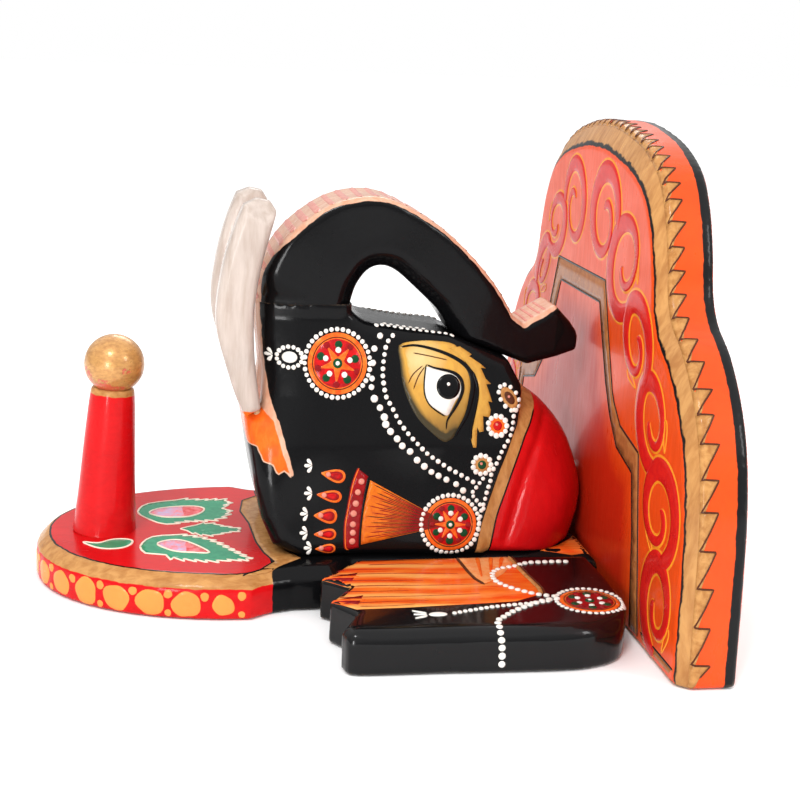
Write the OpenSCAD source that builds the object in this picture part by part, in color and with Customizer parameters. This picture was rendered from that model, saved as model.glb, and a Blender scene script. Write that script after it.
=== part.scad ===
// Wall bracket: an elephant's head between a shelf board and a round board end that carries a peg.
// The bracket lies on its wall side: Z = 0 is the wall face, +Z points out of the wall, and +X points up
// once it hangs, from the peg towards the shelf. It mirrors across Y = 0.
// Inside the modules X starts at the middle of the round board end; place() moves it to the row's origin.

/* [Back board] */
// Thickness of the back board
board_t = 18; // [16:0.5:22]
// Half width of the round end
end_w = 67; // [60:1:72]
// Length of the round end's curve
end_l = 89; // [84:1:92]
// Width of the sloping edge around the round end
board_bevel = 5; // [3:0.5:6]
// Half width of the neck under the head
neck_w = 44; // [42:1:48]

/* [Shelf] */
// Distance from the round end's middle to the shelf's inner face
shelf_x = 175; // [174:0.5:178]
// Thickness of the shelf board
shelf_t = 23.5; // [20:0.5:26]
// Depth of the sloping edge around the shelf's inner face
shelf_bevel = 6; // [3:0.5:8]
// Half width of the shelf at the wall
shelf_w = 148; // [140:1:152]
// How far the shelf stands out from the wall
shelf_h = 202; // [190:1:206]

/* [Head] */
// Half width of the head on the board
head_w = 44; // [42:1:44]
// Half width of the head's top and of the trunk's root
root_w = 22; // [20:0.5:24]
// Height of the seam between head and trunk
seam_z = 122; // [120:0.5:124]
// Radius of the forehead dome
dome_r = 50; // [46:0.5:50]

/* [Trunk] */
// Half width of the trunk's tip
tip_w = 14; // [12:0.5:17]

/* [Tusks] */
// Thickness of a tusk
tusk_t = 16; // [12:0.5:18]
// Distance of a tusk's middle from the mirror plane
tusk_y = 25; // [23:0.5:27]

/* [Ears] */
// Thickness of an ear
ear_t = 17.5; // [14:0.5:18]
// Distance of an ear's front edge from the mirror plane
ear_w = 127; // [120:1:130]

/* [Peg] */
// Radius of the peg at the board
peg_r = 13.6; // [11:0.2:14]
// Radius of the peg at its top
peg_top_r = 9; // [8:0.2:10]
// Length of the peg
peg_l = 64; // [50:1:70]
// Radius of the ball
ball_r = 12.8; // [11:0.2:14]
// Lean of the peg towards the head, in degrees
peg_lean = 3.6; // [0:0.1:5]

/* [Joinery] */
// Radius of the ear dowels
dowel_r = 4; // [3:0.5:5]
// Clearance around dowels, tenons and screws
play = 0.1; // [0.05:0.05:0.2]
// Radius of the wood screws' shanks
screw_r = 2.2; // [1.5:0.1:2.5]

/* [Hidden] */
$fn = 48;
eps = 0.01;
end_x = 22;                      // middle of the round end's curve
x_mid = (shelf_x + shelf_t + end_x - end_l) / 2;
dome_x = shelf_x - dome_r;       // axis of the forehead dome
wide = 200;                      // longer than any cut needs
peg_x = -37.8;
tenon_r = 7;
tenon_l = 12;
plate_x = 150;                   // middle of the hanger plate
plate_l = 44;
plate_w = 16;
plate_t = 1.5;
pocket_z = 6.5;
key_r = 4.5;
slot_r = 2.3;
slot_l = 12;
shelf_step = 0.4;                // where the shelf's slope stops short of its edge
ear_dowel_x = [90, 150];
dowel_z = 9;
dowel_half = 20;
head_screw_x = [60, 112];
head_screw_l = 58;
shelf_screw_l = 52;
shelf_screw_at = [[-15, 9], [15, 9], [0, 45]];
wood = [0.72, 0.52, 0.34];
black = [0.05, 0.05, 0.06];
red = [0.72, 0.05, 0.06];
orange = [0.9, 0.27, 0.08];
gold = [0.75, 0.52, 0.24];
ivory = [0.83, 0.74, 0.66];
steel = [0.62, 0.62, 0.62];

// One point of a smooth curve between b and c, where a and d are the points before and after them
function between(a, b, c, d, t) =
    0.5 * (2 * b + (c - a) * t + (2 * a - 5 * b + 4 * c - d) * t * t
           + (3 * b - a - 3 * c + d) * t * t * t);

// A smooth open curve through the points p, with n steps for each stretch
function smooth(p, n = 4) =
    [for (i = [0:len(p) - 2], k = [0:n - 1])
        between(p[max(i - 1, 0)], p[i], p[i + 1], p[min(i + 2, len(p) - 1)], k / n),
     p[len(p) - 1]];

function mirrored(p) = [for (i = [len(p) - 1:-1:0]) [-p[i][0], p[i][1]]];
function stretched(p, kx, ky) = [for (q = p) [q[0] * kx, q[1] * ky]];

module place() { translate([-x_mid, 0, 0]) children(); }

// Turns a drawing in (x, z) into a slab that is thick along Y, centred on y
module side_slab(points, y, thick) {
    translate([0, y + thick / 2, 0]) rotate([90, 0, 0]) linear_extrude(thick) polygon(points);
}

// Turns a drawing in (y, z) into a slab that runs along X
module front_slab(points, x, thick) {
    translate([x, 0, 0]) rotate([90, 0, 90]) linear_extrude(thick) polygon(points);
}

module both_sides() {
    children();
    mirror([0, 1, 0]) children();
}

// ---- back board ----

// Half of the round end: an oval that is a little squarer than an ellipse, from its tip to its widest place
round_end = [for (a = [0:6:90])
    [end_x - end_l * pow(cos(a), 2 / 2.1), end_w * pow(sin(a), 2 / 2.1)]];

// From the round end's widest place to where the neck begins
waist = [[31, 61], [40, 58], [58, 57], [67, neck_w]];

function with_mirror_image(half) = concat(half, [for (i = [len(half) - 1:-1:1]) [half[i][0], -half[i][1]]]);

module board_blank() {
    end = with_mirror_image(concat(round_end, waist));
    linear_extrude(board_t - board_bevel) polygon(end);
    top_size = [1 - board_bevel / end_l, 1 - board_bevel / end_w];
    translate([end_x, 0, board_t - board_bevel])
        linear_extrude(board_bevel, slices = 1, scale = top_size) translate([-end_x, 0]) polygon(end);
    translate([end_x, -neck_w, 0]) cube([shelf_x - end_x, 2 * neck_w, board_t]);
}

module back_board() {
    color(red) place() difference() {
        board_blank();
        peg_frame() translate([0, 0, -tenon_l - 1]) cylinder(r = tenon_r + play, h = tenon_l + 3);
        ear_dowel_bores();
        head_screw_bores();
        shelf_screw_bores();
        hanger_recess();
    }
}

// ---- shelf ----

// Half of the shelf's inner face, from the top of the dome to the wall
shelf_half = [[0, 191], [12, 190.8], [30, 188.6], [51, 184], [69, 175.5], [80, 162], [86.5, 146],
              [90, 133], [97, 123.5], [111, 115], [125, 101], [135, 84], [140.5, 62], [142.5, 35], [143.5, 0]];

function shelf_face() = concat(smooth(shelf_half), mirrored(smooth(shelf_half)));

module shelf_board() {
    face = shelf_face();
    wide_by = shelf_w / 143.5;
    high_by = shelf_h / 191;
    bevel_end = [(shelf_w - shelf_step) / 143.5, (shelf_h - shelf_step) / 191];
    color(orange) place() difference() {
        union() {
            translate([shelf_x, 0, 0]) rotate([90, 0, 90])
                linear_extrude(shelf_bevel + 1, slices = 1, scale = bevel_end) polygon(face);
            front_slab(stretched(face, wide_by, high_by), shelf_x + shelf_bevel, shelf_t - shelf_bevel);
        }
        shelf_screw_bores();
    }
}

// ---- head ----

// The head from the side: jaw, tusk ledge, root of the trunk, crown, and the brow where the dome begins
head_side = concat(
    [[45, board_t], [33, 22], [28.2, 33], [24.6, 52], [22.3, 66], [21.2, 75.5], [28, 79], [28.6, 92], [27, 109],
     [26.6, seam_z], [66, seam_z]],
    smooth([[66.5, 119.5], [72, 115.5], [84, 113.5], [97, 112], [108, 110.5]], 3),
    [[117, 106.5], [126, 103], [135, 99.5], [141, 88], [138, 72], [128, 45], [124, board_t]]);

// The head's width from the front: broad on the board and narrow at the trunk's root
head_front = [[head_w, board_t - 1], [head_w * 0.85, 65], [root_w, 116], [root_w, seam_z]];

dome_side = concat(
    [[0, board_t], [dome_r * 0.94, board_t]],
    smooth([[dome_r, 30], [dome_r, 42], [dome_r * 0.87, 61], [dome_r * 0.66, 75], [dome_r * 0.5, 81.5],
            [dome_r * 0.3, 87], [0, 91]], 3));

module head_block() {
    color(black) place() difference() {
        intersection() {
            union() {
                side_slab(head_side, 0, 2 * head_w);
                translate([dome_x, 0, 0]) rotate_extrude($fn = 72) polygon(dome_side);
            }
            front_slab(concat(head_front, mirrored(head_front)), 0, shelf_x);
        }
        head_screw_bores();
        shelf_screw_bores();
        translate([47, 0, seam_z - 22]) cylinder(r = 5 + play, h = wide);
        both_sides() tusk_pin_bore();
    }
}

// ---- trunk ----

trunk_side = concat(
    smooth([[26.6, seam_z], [28, 133], [33.6, 144], [43, 154.8], [56, 164.2], [70, 167.8], [84, 166.3],
            [103, 156.3], [117, 144.8], [131, 129], [138.5, 117]], 3),
    [[143.3, 113.5], [157.5, 121.7], [165, 114], [170.5, 107], [170, 101.5], [160.5, 98.5], [146, 95.3],
     [135, 99.5], [126, 103], [117, 106.5], [112, 108.72]],
    smooth([[104.6, 119.5], [95.3, 128.2], [86.2, 136], [79.6, 138.4], [73.5, 136.5], [68.5, 130], [66, seam_z]],
           3));

// The trunk from above: wide at its root, narrow and blunt at its tip
trunk_top = [[0, root_w], [66, root_w], [158, tip_w], [168, tip_w - 2], [171, tip_w - 8]];

module trunk() {
    outline = concat(trunk_top, [for (i = [len(trunk_top) - 1:-1:0]) [trunk_top[i][0], -trunk_top[i][1]]]);
    color(black) place() difference() {
        intersection() {
            side_slab(trunk_side, 0, 2 * root_w + 2);
            linear_extrude(wide) polygon(outline);
        }
        translate([47, 0, 0]) cylinder(r = 5 + play, h = seam_z + 20);
    }
}

module trunk_dowel() {
    color(wood) place() translate([47, 0, seam_z - 21]) cylinder(r = 5, h = 40);
}

// ---- tusks ----

tusk_side = concat(
    smooth([[21.2, 75.5], [16.6, 86], [12, 100.5], [9, 113], [8.8, 124], [11.2, 139], [15.8, 155],
            [19.6, 164.5]], 3),
    [[25, 167], [30.5, 166]],
    smooth([[33, 162], [30.4, 152], [27.7, 141], [25.4, 128], [24.2, 117], [25, 100], [28, 79]], 3));

module tusk() {
    place() difference() {
        side_slab(tusk_side, tusk_y, tusk_t);
        tusk_pin_bore();
    }
}

module tusk_left() { color(ivory) tusk(); }
module tusk_right() { color(ivory) mirror([0, 1, 0]) tusk(); }

// A slanting line through a tusk's foot into the ledge below it
module tusk_pin_axis() {
    translate([26.2, tusk_y, 78]) rotate([0, 162, 0]) translate([0, 0, -13]) children();
}

module tusk_pin_bore() { tusk_pin_axis() cylinder(r = 1.5 + play, h = 26); }
module tusk_pin() { place() tusk_pin_axis() translate([0, 0, 0.5]) cylinder(r = 1.5, h = 25); }
module tusk_pin_left() { color(wood) tusk_pin(); }
module tusk_pin_right() { color(wood) mirror([0, 1, 0]) tusk_pin(); }

// ---- ears ----

ear_outline = concat(
    [[68, neck_w + 0.5], [50.2, 67], [61, 76.5], [51, 92], [60, 105.5], [52.8, 118]],
    smooth([[54, 122.5], [60, 125.5], [96, ear_w - 1], [135, ear_w], [151, 124.5], [162, 117.5], [168, 105]],
           4),
    [[169.5, 96], [169.5, neck_w + 0.5]]);

module ear() {
    place() difference() {
        linear_extrude(ear_t) polygon(ear_outline);
        ear_dowel_bores();
    }
}

module ear_left() { color(black) ear(); }
module ear_right() { color(black) mirror([0, 1, 0]) ear(); }

module ear_dowel_bores() {
    both_sides() for (x = ear_dowel_x)
        translate([x, neck_w - dowel_half, dowel_z]) rotate([-90, 0, 0])
            cylinder(r = dowel_r + play, h = 2 * dowel_half + 0.5);
}

module ear_dowels() {
    place() for (x = ear_dowel_x)
        translate([x, neck_w - dowel_half + 0.5, dowel_z]) rotate([-90, 0, 0])
            cylinder(r = dowel_r, h = 2 * dowel_half - 0.5);
}

module ear_dowels_left() { color(wood) ear_dowels(); }
module ear_dowels_right() { color(wood) mirror([0, 1, 0]) ear_dowels(); }

// ---- peg ----

module peg_frame() { translate([peg_x, 0, board_t]) rotate([0, peg_lean, 0]) children(); }

module peg_post() {
    color(red) place() difference() {
        union() {
            intersection() {
                peg_frame() translate([0, 0, -1]) cylinder(r1 = peg_r, r2 = peg_top_r, h = peg_l + 1);
                translate([peg_x - wide / 2, -wide / 2, board_t]) cube(wide);
            }
            peg_frame() translate([0, 0, -tenon_l]) cylinder(r = tenon_r, h = tenon_l + 5);
        }
        peg_frame() translate([0, 0, peg_l - 20]) cylinder(r = 4 + play, h = 30);
    }
}

module peg_ball() {
    color(gold) place() difference() {
        peg_frame() difference() {
            translate([0, 0, peg_l + ball_r - 2.4]) sphere(r = ball_r, $fn = 64);
            translate([-wide / 2, -wide / 2, peg_l - wide]) cube(wide);
        }
        peg_frame() translate([0, 0, peg_l - 1]) cylinder(r = 4 + play, h = 11);
    }
}

module ball_dowel() {
    color(wood) place() peg_frame() translate([0, 0, peg_l - 19.5]) cylinder(r = 4, h = 29);
}

// ---- screws and hanger ----

// A countersunk wood screw: the head's face is at the origin and the point is along +Z
module screw(length, r, head_r) {
    rotate_extrude($fn = 32)
        polygon([[0, 0], [head_r, 0], [r, head_r - r + 0.6], [r, length - 2.5 * r], [0, length]]);
}

module screw_bore(length, r, head_r) {
    translate([0, 0, -1]) cylinder(r = head_r + play, h = 1 + eps);
    cylinder(r1 = head_r + play, r2 = r + play, h = head_r - r + 0.6);
    cylinder(r = r + play, h = length + 0.5);
}

module head_screw_bores() {
    for (x = head_screw_x) translate([x, 0, 0.5]) screw_bore(head_screw_l, screw_r, 4.4);
}

module head_screws() {
    color(steel) place() for (x = head_screw_x) translate([x, 0, 0.5]) screw(head_screw_l, screw_r, 4.4);
}

module shelf_screw_frame(at) {
    translate([shelf_x + shelf_t - 0.5, at[0], at[1]]) rotate([0, -90, 0]) children();
}

module shelf_screw_bores() {
    for (at = shelf_screw_at) shelf_screw_frame(at) screw_bore(shelf_screw_l, screw_r, 4.4);
}

module shelf_screws() {
    color(steel) place() for (at = shelf_screw_at) shelf_screw_frame(at) screw(shelf_screw_l, screw_r, 4.4);
}

module hanger_recess() {
    translate([plate_x - plate_l / 2 - play, -plate_w / 2 - play, -1])
        cube([plate_l + 2 * play, plate_w + 2 * play, plate_t + 1]);
    translate([plate_x - 11, -5.5, 0]) cube([22, 11, pocket_z]);
    for (end = [-1, 1]) translate([plate_x + end * 17, 0, 0]) cylinder(r = 1.3, h = 9);
}

module hanger_plate() {
    color(steel) place() difference() {
        translate([plate_x - plate_l / 2, -plate_w / 2, 0]) cube([plate_l, plate_w, plate_t]);
        translate([plate_x - slot_l / 2, 0, -1]) cylinder(r = key_r, h = plate_t + 2);
        translate([plate_x - slot_l / 2, -slot_r, -1]) cube([slot_l, 2 * slot_r, plate_t + 2]);
        translate([plate_x + slot_l / 2, 0, -1]) cylinder(r = slot_r, h = plate_t + 2);
        for (end = [-1, 1]) translate([plate_x + end * 17, 0, 0]) screw_bore(8, 1.2, 2.2);
    }
}

module hanger_screws() {
    color(steel) place() for (end = [-1, 1]) translate([plate_x + end * 17, 0, 0]) screw(8.5, 1.2, 2.2);
}

back_board();
shelf_board();
head_block();
trunk();
tusk_left();
tusk_right();
ear_left();
ear_right();
peg_post();
peg_ball();
ball_dowel();
trunk_dowel();
tusk_pin_left();
tusk_pin_right();
ear_dowels_left();
ear_dowels_right();
head_screws();
shelf_screws();
hanger_plate();
hanger_screws();
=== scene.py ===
"""Looks of the painted elephant-head wall bracket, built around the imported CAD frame."""
import math

import bmesh
import bpy
import numpy as np
from mathutils import Matrix, Vector
from mathutils.bvhtree import BVHTree
from mathutils.geometry import delaunay_2d_cdt


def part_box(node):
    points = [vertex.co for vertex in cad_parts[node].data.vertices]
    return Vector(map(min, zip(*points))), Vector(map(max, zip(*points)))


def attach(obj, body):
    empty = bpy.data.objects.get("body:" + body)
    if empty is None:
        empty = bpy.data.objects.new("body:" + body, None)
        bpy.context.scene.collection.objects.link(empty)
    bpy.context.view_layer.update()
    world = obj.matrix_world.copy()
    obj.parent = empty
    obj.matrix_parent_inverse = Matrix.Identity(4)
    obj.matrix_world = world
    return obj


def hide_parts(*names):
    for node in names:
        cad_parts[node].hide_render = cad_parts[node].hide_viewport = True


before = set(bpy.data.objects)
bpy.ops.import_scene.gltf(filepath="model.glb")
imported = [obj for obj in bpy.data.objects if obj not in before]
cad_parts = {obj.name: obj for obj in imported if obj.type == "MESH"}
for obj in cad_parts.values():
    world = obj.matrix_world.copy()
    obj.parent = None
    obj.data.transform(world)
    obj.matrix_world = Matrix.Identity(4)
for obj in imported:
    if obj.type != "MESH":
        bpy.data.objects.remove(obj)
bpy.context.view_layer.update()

# ---- the frame in the design's own millimetres ----
# X starts at the middle of the round board end, as in the part's source. MID is the row origin there.
END_X, END_L, END_W = 22.0, 89.0, 67.0
board_lo, board_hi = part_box("back_board")
shelf_lo, shelf_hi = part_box("shelf_board")
MID = END_X - END_L - board_lo.x * 1000
BOARD_T = board_hi.z * 1000
SHELF_X = shelf_lo.x * 1000 + MID
SHELF_BACK = shelf_hi.x * 1000 + MID
SHELF_H = shelf_hi.z * 1000
SHELF_W = shelf_hi.y * 1000
EAR_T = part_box("ear_left")[1].z * 1000
EAR_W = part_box("ear_left")[1].y * 1000
SEAM_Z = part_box("trunk_dowel")[1].z * 1000 - 19
HEAD_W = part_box("head_block")[1].y * 1000
ROOT_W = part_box("trunk")[1].y * 1000
TUSK_IN, TUSK_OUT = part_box("tusk_left")[0].y * 1000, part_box("tusk_left")[1].y * 1000
NECK_W = 44.0
NECK_X = 31.5       # the black neck starts here
BOARD_BEVEL, LOOP_BEVEL = 5, 6
HIGHLIGHT_X = 13.5       # the middle of the painted highlight along the shelf's rounded edge, from its inner face
JAW_Z = 78
TUSK_ORANGE_Z = 78.6
DOME_R = 50.0
DOME_X = SHELF_X - DOME_R
rng = np.random.default_rng(7)


def metres(points):
    """Design millimetres to row metres."""
    return (np.asarray(points, float) - [MID, 0, 0]) / 1000


# ---- outlines ----
def distances(path):
    """The distance along a path at each of its points."""
    return np.concatenate([[0], np.cumsum(np.hypot(*np.diff(path, axis=0).T))])


def smooth(points, n=6, closed=False):
    """A Catmull-Rom curve through the points."""
    p = np.asarray(points, float)
    count = len(p)
    out = []
    for i in range(count if closed else count - 1):
        if closed:
            a, b, c, d = (p[(i + j) % count] for j in (-1, 0, 1, 2))
        else:
            a, b, c, d = p[max(i - 1, 0)], p[i], p[i + 1], p[min(i + 2, count - 1)]
        for t in np.arange(n) / n:
            out.append(0.5 * (2 * b + (c - a) * t + (2 * a - 5 * b + 4 * c - d) * t * t
                              + (3 * b - a - 3 * c + d) * t ** 3))
    if not closed:
        out.append(p[-1])
    return np.array(out)


def oval_end(n=16):
    t = np.radians(np.linspace(0, 90, n))
    return np.stack([END_X - END_L * np.cos(t) ** (2 / 2.1), END_W * np.sin(t) ** (2 / 2.1)], 1)


# ---- solids as distance fields, and the mesh of their surface ----
def inside_distance(u, v, polygon):
    """Signed distance from (u, v) to a polygon, negative inside."""
    u, v = np.broadcast_arrays(u, v)
    best = np.full(u.shape, 1e9)
    odd = np.zeros(u.shape, bool)
    for (ax, ay), (bx, by) in zip(polygon, np.roll(polygon, -1, 0)):
        ex, ey = bx - ax, by - ay
        length = ex * ex + ey * ey
        if length < 1e-12:
            continue
        wx, wy = u - ax, v - ay
        t = np.clip((wx * ex + wy * ey) / length, 0, 1)
        best = np.minimum(best, (wx - ex * t) ** 2 + (wy - ey * t) ** 2)
        if ay != by:
            odd ^= ((ay > v) != (by > v)) & (wx < ex * wy / ey)
    return np.where(odd, -1, 1) * np.sqrt(best)


def line_distance(u, v, points):
    """Distance from (u, v) to an open line."""
    u, v = np.broadcast_arrays(u, v)
    best = np.full(u.shape, 1e9)
    for (ax, ay), (bx, by) in zip(points[:-1], points[1:]):
        ex, ey = bx - ax, by - ay
        t = np.clip(((u - ax) * ex + (v - ay) * ey) / (ex * ex + ey * ey), 0, 1)
        best = np.minimum(best, np.hypot(u - ax - ex * t, v - ay - ey * t))
    return best


def smin(a, b, k):
    h = np.clip(0.5 + 0.5 * (b - a) / k, 0, 1)
    return b * (1 - h) + a * h - k * h * (1 - h)


def smax(a, b, k):
    return -smin(-a, -b, k)


def hand_waves(x, y, z, size=0.16):
    """The slight unevenness of wood that was shaped and sanded by hand, the same on both sides."""
    y = np.abs(y)
    wave = np.sin(x / 7.3 + 1.1) * np.sin(z / 9.1 + y / 13) + np.sin(y / 6.7 + x / 17) * np.sin(z / 6.1 + 2)
    return size * wave


def surface_of(field, low, high, step):
    """Vertices and quads of the surface where field(x, y, z) is 0, by surface nets."""
    axes = [np.arange(a - 2 * step, b + 2 * step, step) for a, b in zip(low, high)]
    x, y, z = np.meshgrid(*axes, indexing="ij", sparse=True)
    f = np.broadcast_to(field(x, y, z), [len(a) for a in axes]).astype(np.float32)
    cells = tuple(n - 1 for n in f.shape)
    total = np.zeros(cells + (3,), np.float32)
    count = np.zeros(cells, np.int16)
    corner = [(i, j, k) for i in (0, 1) for j in (0, 1) for k in (0, 1)]

    def at(c):
        return f[c[0]:c[0] + cells[0], c[1]:c[1] + cells[1], c[2]:c[2] + cells[2]]

    for a in corner:
        for axis in range(3):
            if a[axis]:
                continue
            b = tuple(a[i] + (i == axis) for i in range(3))
            fa, fb = at(a), at(b)
            hit = (fa < 0) != (fb < 0)
            t = np.where(hit, fa / np.where(hit, fa - fb, 1), 0)
            count += hit
            for i in range(3):
                total[..., i] += hit * (a[i] + (t if i == axis else 0))
    live = count > 0
    index = np.full(cells, -1, np.int64)
    index[live] = np.arange(live.sum())
    where = np.argwhere(live)
    start = np.array([a[0] for a in axes])
    verts = start + (where + total[live] / count[live][:, None]) * step
    quads = []
    for axis in range(3):
        b, c = (axis + 1) % 3, (axis + 2) % 3
        here = [slice(1, n - 1) for n in f.shape]
        here[axis] = slice(0, f.shape[axis] - 1)
        there = list(here)
        there[axis] = slice(1, f.shape[axis])
        inside, outside = f[tuple(here)] < 0, f[tuple(there)] < 0
        for flip in (False, True):
            cell = np.argwhere((inside != outside) & (inside == flip))
            offset = np.ones(3, int)
            offset[axis] = 0
            cell = cell + offset
            ring = []
            for db, dc in ((1, 1), (0, 1), (0, 0), (1, 0)):
                q = cell.copy()
                q[:, b] -= db
                q[:, c] -= dc
                ring.append(index[tuple(q.T)])
            quad = np.stack(ring, 1)
            quads.append(quad if flip else quad[:, ::-1])
    return verts, np.vstack(quads)


# ---- making objects ----
def new_object(name, verts, faces, material, attributes):
    """A piece of the object, from design millimetres."""
    mesh = bpy.data.meshes.new(name)
    mesh.from_pydata(metres(verts).tolist(), [], [list(map(int, f)) for f in faces])
    mesh.materials.append(material)
    mesh.polygons.foreach_set("use_smooth", np.ones(len(mesh.polygons), bool))
    for key, values in attributes.items():
        layer = mesh.attributes.new(key, "FLOAT", "POINT")
        layer.data.foreach_set("value", np.asarray(values, np.float32))
    mesh.update()
    piece = bpy.data.objects.new(name, mesh)
    bpy.context.scene.collection.objects.link(piece)
    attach(piece, "root")
    return piece


def slot_of(paint):
    """A paint's name, without the number that Blender adds to a name in use."""
    return paint.name.split(".")[0]


def tree_of(verts, faces):
    return BVHTree.FromPolygons([Vector(v) for v in verts], [tuple(map(int, f)) for f in faces])


# ---- shapes: outlines, and for each piece its signed distance in millimetres, negative in the wood ----
WAIST = [(31, 61), (40, 58), (58, 57), (67, NECK_W)]
FRONT_W, FRONT_H, OUTSIDE = 143.5, 191, -200
SHELF_HALF = [
    (0, FRONT_H), (12, 190.8), (30, 188.6), (51, 184), (69, 175.5), (80, 162), (86.5, 146), (90, 133),
    (97, 123.5), (111, 115), (125, 101), (135, 84), (140.5, 62), (142.5, 35), (FRONT_W, 0)]
HEAD_SIDE = np.vstack([
    [(45, BOARD_T), (33, 22), (28.2, 33), (24.6, 52), (22.3, 66), (21.2, 75.5), (28, 79), (28.6, 92),
     (27, 109), (26.6, SEAM_Z), (27.4, SEAM_Z + 20), (66, SEAM_Z + 20)],
    smooth([(66.5, 119.5), (72, 115.5), (84, 113.5), (97, 112), (108, 110.5)], 3),
    [(117, 106.5), (126, 103), (135, 99.5), (141, 88), (138, 72), (128, 45), (124, BOARD_T)]])
DOME_SIDE = np.vstack([
    [(-DOME_R, BOARD_T), (DOME_R * 0.94, BOARD_T)],
    smooth([(DOME_R, 30), (DOME_R, 42), (DOME_R * 0.87, 61), (DOME_R * 0.66, 75), (DOME_R * 0.5, 81.5),
            (DOME_R * 0.3, 87), (0, 91), (-DOME_R, 91)], 3)])
TRUNK_OUTER = smooth([(26.6, SEAM_Z), (28, 133), (33.6, 144), (43, 154.8), (56, 164.2), (70, 167.8),
                      (84, 166.3), (103, 156.3), (117, 144.8), (131, 129), (138.5, 117)], 4)
TRUNK_TIP = np.array([(143.3, 113.5), (157.5, 121.7), (165, 114), (170.5, 107), (170, 101.5), (160.5, 98.5),
                      (146, 95.3), (135, 99.5), (126, 103), (117, 106.5), (112, 108.72)], float)
TRUNK_LOOP = smooth([(104.6, 119.5), (95.3, 128.2), (86.2, 136), (79.6, 138.4), (73.5, 136.5), (68.5, 130),
                     (66, SEAM_Z)], 4)
TRUNK_SIDE = np.vstack([TRUNK_OUTER, TRUNK_TIP, TRUNK_LOOP, [(66, SEAM_Z - 20), (27, SEAM_Z - 20)]])
TUSK_SIDE = np.vstack([
    smooth([(21.2, 75.5), (16.6, 86), (12, 100.5), (9, 113), (8.8, 124), (11.2, 139), (15.8, 155),
            (19.6, 164.5)], 4),
    [(25, 167), (30.5, 166)],
    smooth([(33, 162), (30.4, 152), (27.7, 141), (25.4, 128), (24.2, 117), (25, 100), (28, 79)], 4)])
EAR_TOP = np.vstack([
    [(68, NECK_W + 0.5), (50.2, 67), (61, 76.5), (51, 92), (60, 105.5), (52.8, 118)],
    smooth([(54, 122.5), (60, 125.5), (96, EAR_W - 1), (135, EAR_W), (151, 124.5), (162, 117.5), (168, 105)],
           4),
    [(169.5, 96), (169.5, NECK_W + 0.5)]])


SHELF_EDGE = smooth(SHELF_HALF, 4)
SHELF_OUTLINE = np.vstack([[(OUTSIDE, FRONT_H)], SHELF_EDGE, [(FRONT_W, OUTSIDE), (OUTSIDE, OUTSIDE)]])
BOARD_EDGE = np.vstack([oval_end(), WAIST])
BOARD_HALF = np.vstack([[(END_X - END_L, OUTSIDE)], BOARD_EDGE, [(SHELF_X, NECK_W), (SHELF_X, OUTSIDE)]])


def shelf_growth(x):
    """How much wider and higher the shelf is at x than its inner face."""
    share = np.clip((x - SHELF_X) / 6, 0, 1)
    return 1 + (SHELF_W / FRONT_W - 1) * share, 1 + (SHELF_H / FRONT_H - 1) * share


def head_half_width(z):
    return np.interp(z, [BOARD_T - 1, 65, 116, SEAM_Z], [HEAD_W, HEAD_W * 0.85, ROOT_W, ROOT_W])


def board_field(x, y, z):
    edge = inside_distance(x, np.abs(y), BOARD_HALF)
    slope = (edge + z - BOARD_T + BOARD_BEVEL) * math.sqrt(0.5)
    top = smax(smax(edge, slope, 1.5), z - BOARD_T, 1.0)
    return smax(top, -z, 1.2)


def cheek_facet(x, y, half):
    """The flat cut that turns the front of each cheek a little towards the tusk."""
    return (np.abs(y) - half) * 0.96 - (x - 46) * 0.27


def head_field(x, y, z):
    side = (np.abs(y) - head_half_width(z)) * 0.97
    side = smax(side, cheek_facet(x, y, head_half_width(z) + 0.12 * np.maximum(84 - z, 0)), 2)
    round_off = 5 + 4 * np.clip((46 - x) / 14, 0, 1)
    block = smax(inside_distance(x, z, HEAD_SIDE), side, round_off)
    dome = smax(inside_distance(np.hypot(x - DOME_X, y), z, DOME_SIDE), side, 7)
    groove = 1.3 * np.exp(-(line_distance(x, z, DOME_GROOVE) / 2.0) ** 2)
    whole = smin(block, dome, 2) + hand_waves(x, y, z) + groove * np.clip((np.abs(y) - 8) / 10, 0, 1)
    whole = np.maximum(whole, z - SEAM_Z - 0.7)
    return np.maximum(smax(whole, BOARD_T - 0.2 - z, 0.5), x - SHELF_X)


def trunk_field(x, y, z):
    half = np.interp(x, [0, 66, 158, 168, 171], [ROOT_W, ROOT_W, 14, 12, 6])
    side = np.abs(y) - half
    side = smax(side, cheek_facet(x, y, ROOT_W) - 0.5 * np.maximum(z - SEAM_Z - 3, 0), 2)
    round_off = 4 + 5 * np.clip((150 - z) / 25, 0, 1) * np.clip((48 - x) / 12, 0, 1)
    body = smax(inside_distance(x, z, TRUNK_SIDE), side, round_off)
    loop = np.vstack([TRUNK_LOOP, [(66, 108), (112, 108)]])
    bevel = (side - inside_distance(x, z, loop) + LOOP_BEVEL) * math.sqrt(0.5)
    whole = smax(body, bevel, 1.5) + hand_waves(x, y, z)
    return np.maximum(whole, np.where(x < 90, SEAM_Z - 0.7 - z, -9))


def tusk_field(x, y, z):
    middle, half = (TUSK_IN + TUSK_OUT) / 2, (TUSK_OUT - TUSK_IN) / 2
    side = np.abs(y - middle) - half
    body = smax(inside_distance(x, z, TUSK_SIDE), side, 5)
    tip = ((z - 158) * 0.6 + (y - middle - half) * 0.75 + (x - 26) * 0.2) * 0.97
    return smax(body, tip, 1.0) + hand_waves(x, y, z, 0.12)


def ear_field(x, y, z):
    edge = inside_distance(x, y, EAR_TOP)
    soft = 3 + 4 * np.clip((y - 108) / 12, 0, 1)
    return smax(smax(edge, z - EAR_T, soft), -z, 1.2) + hand_waves(x, y, z, 0.12) * (z > 4)


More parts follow.
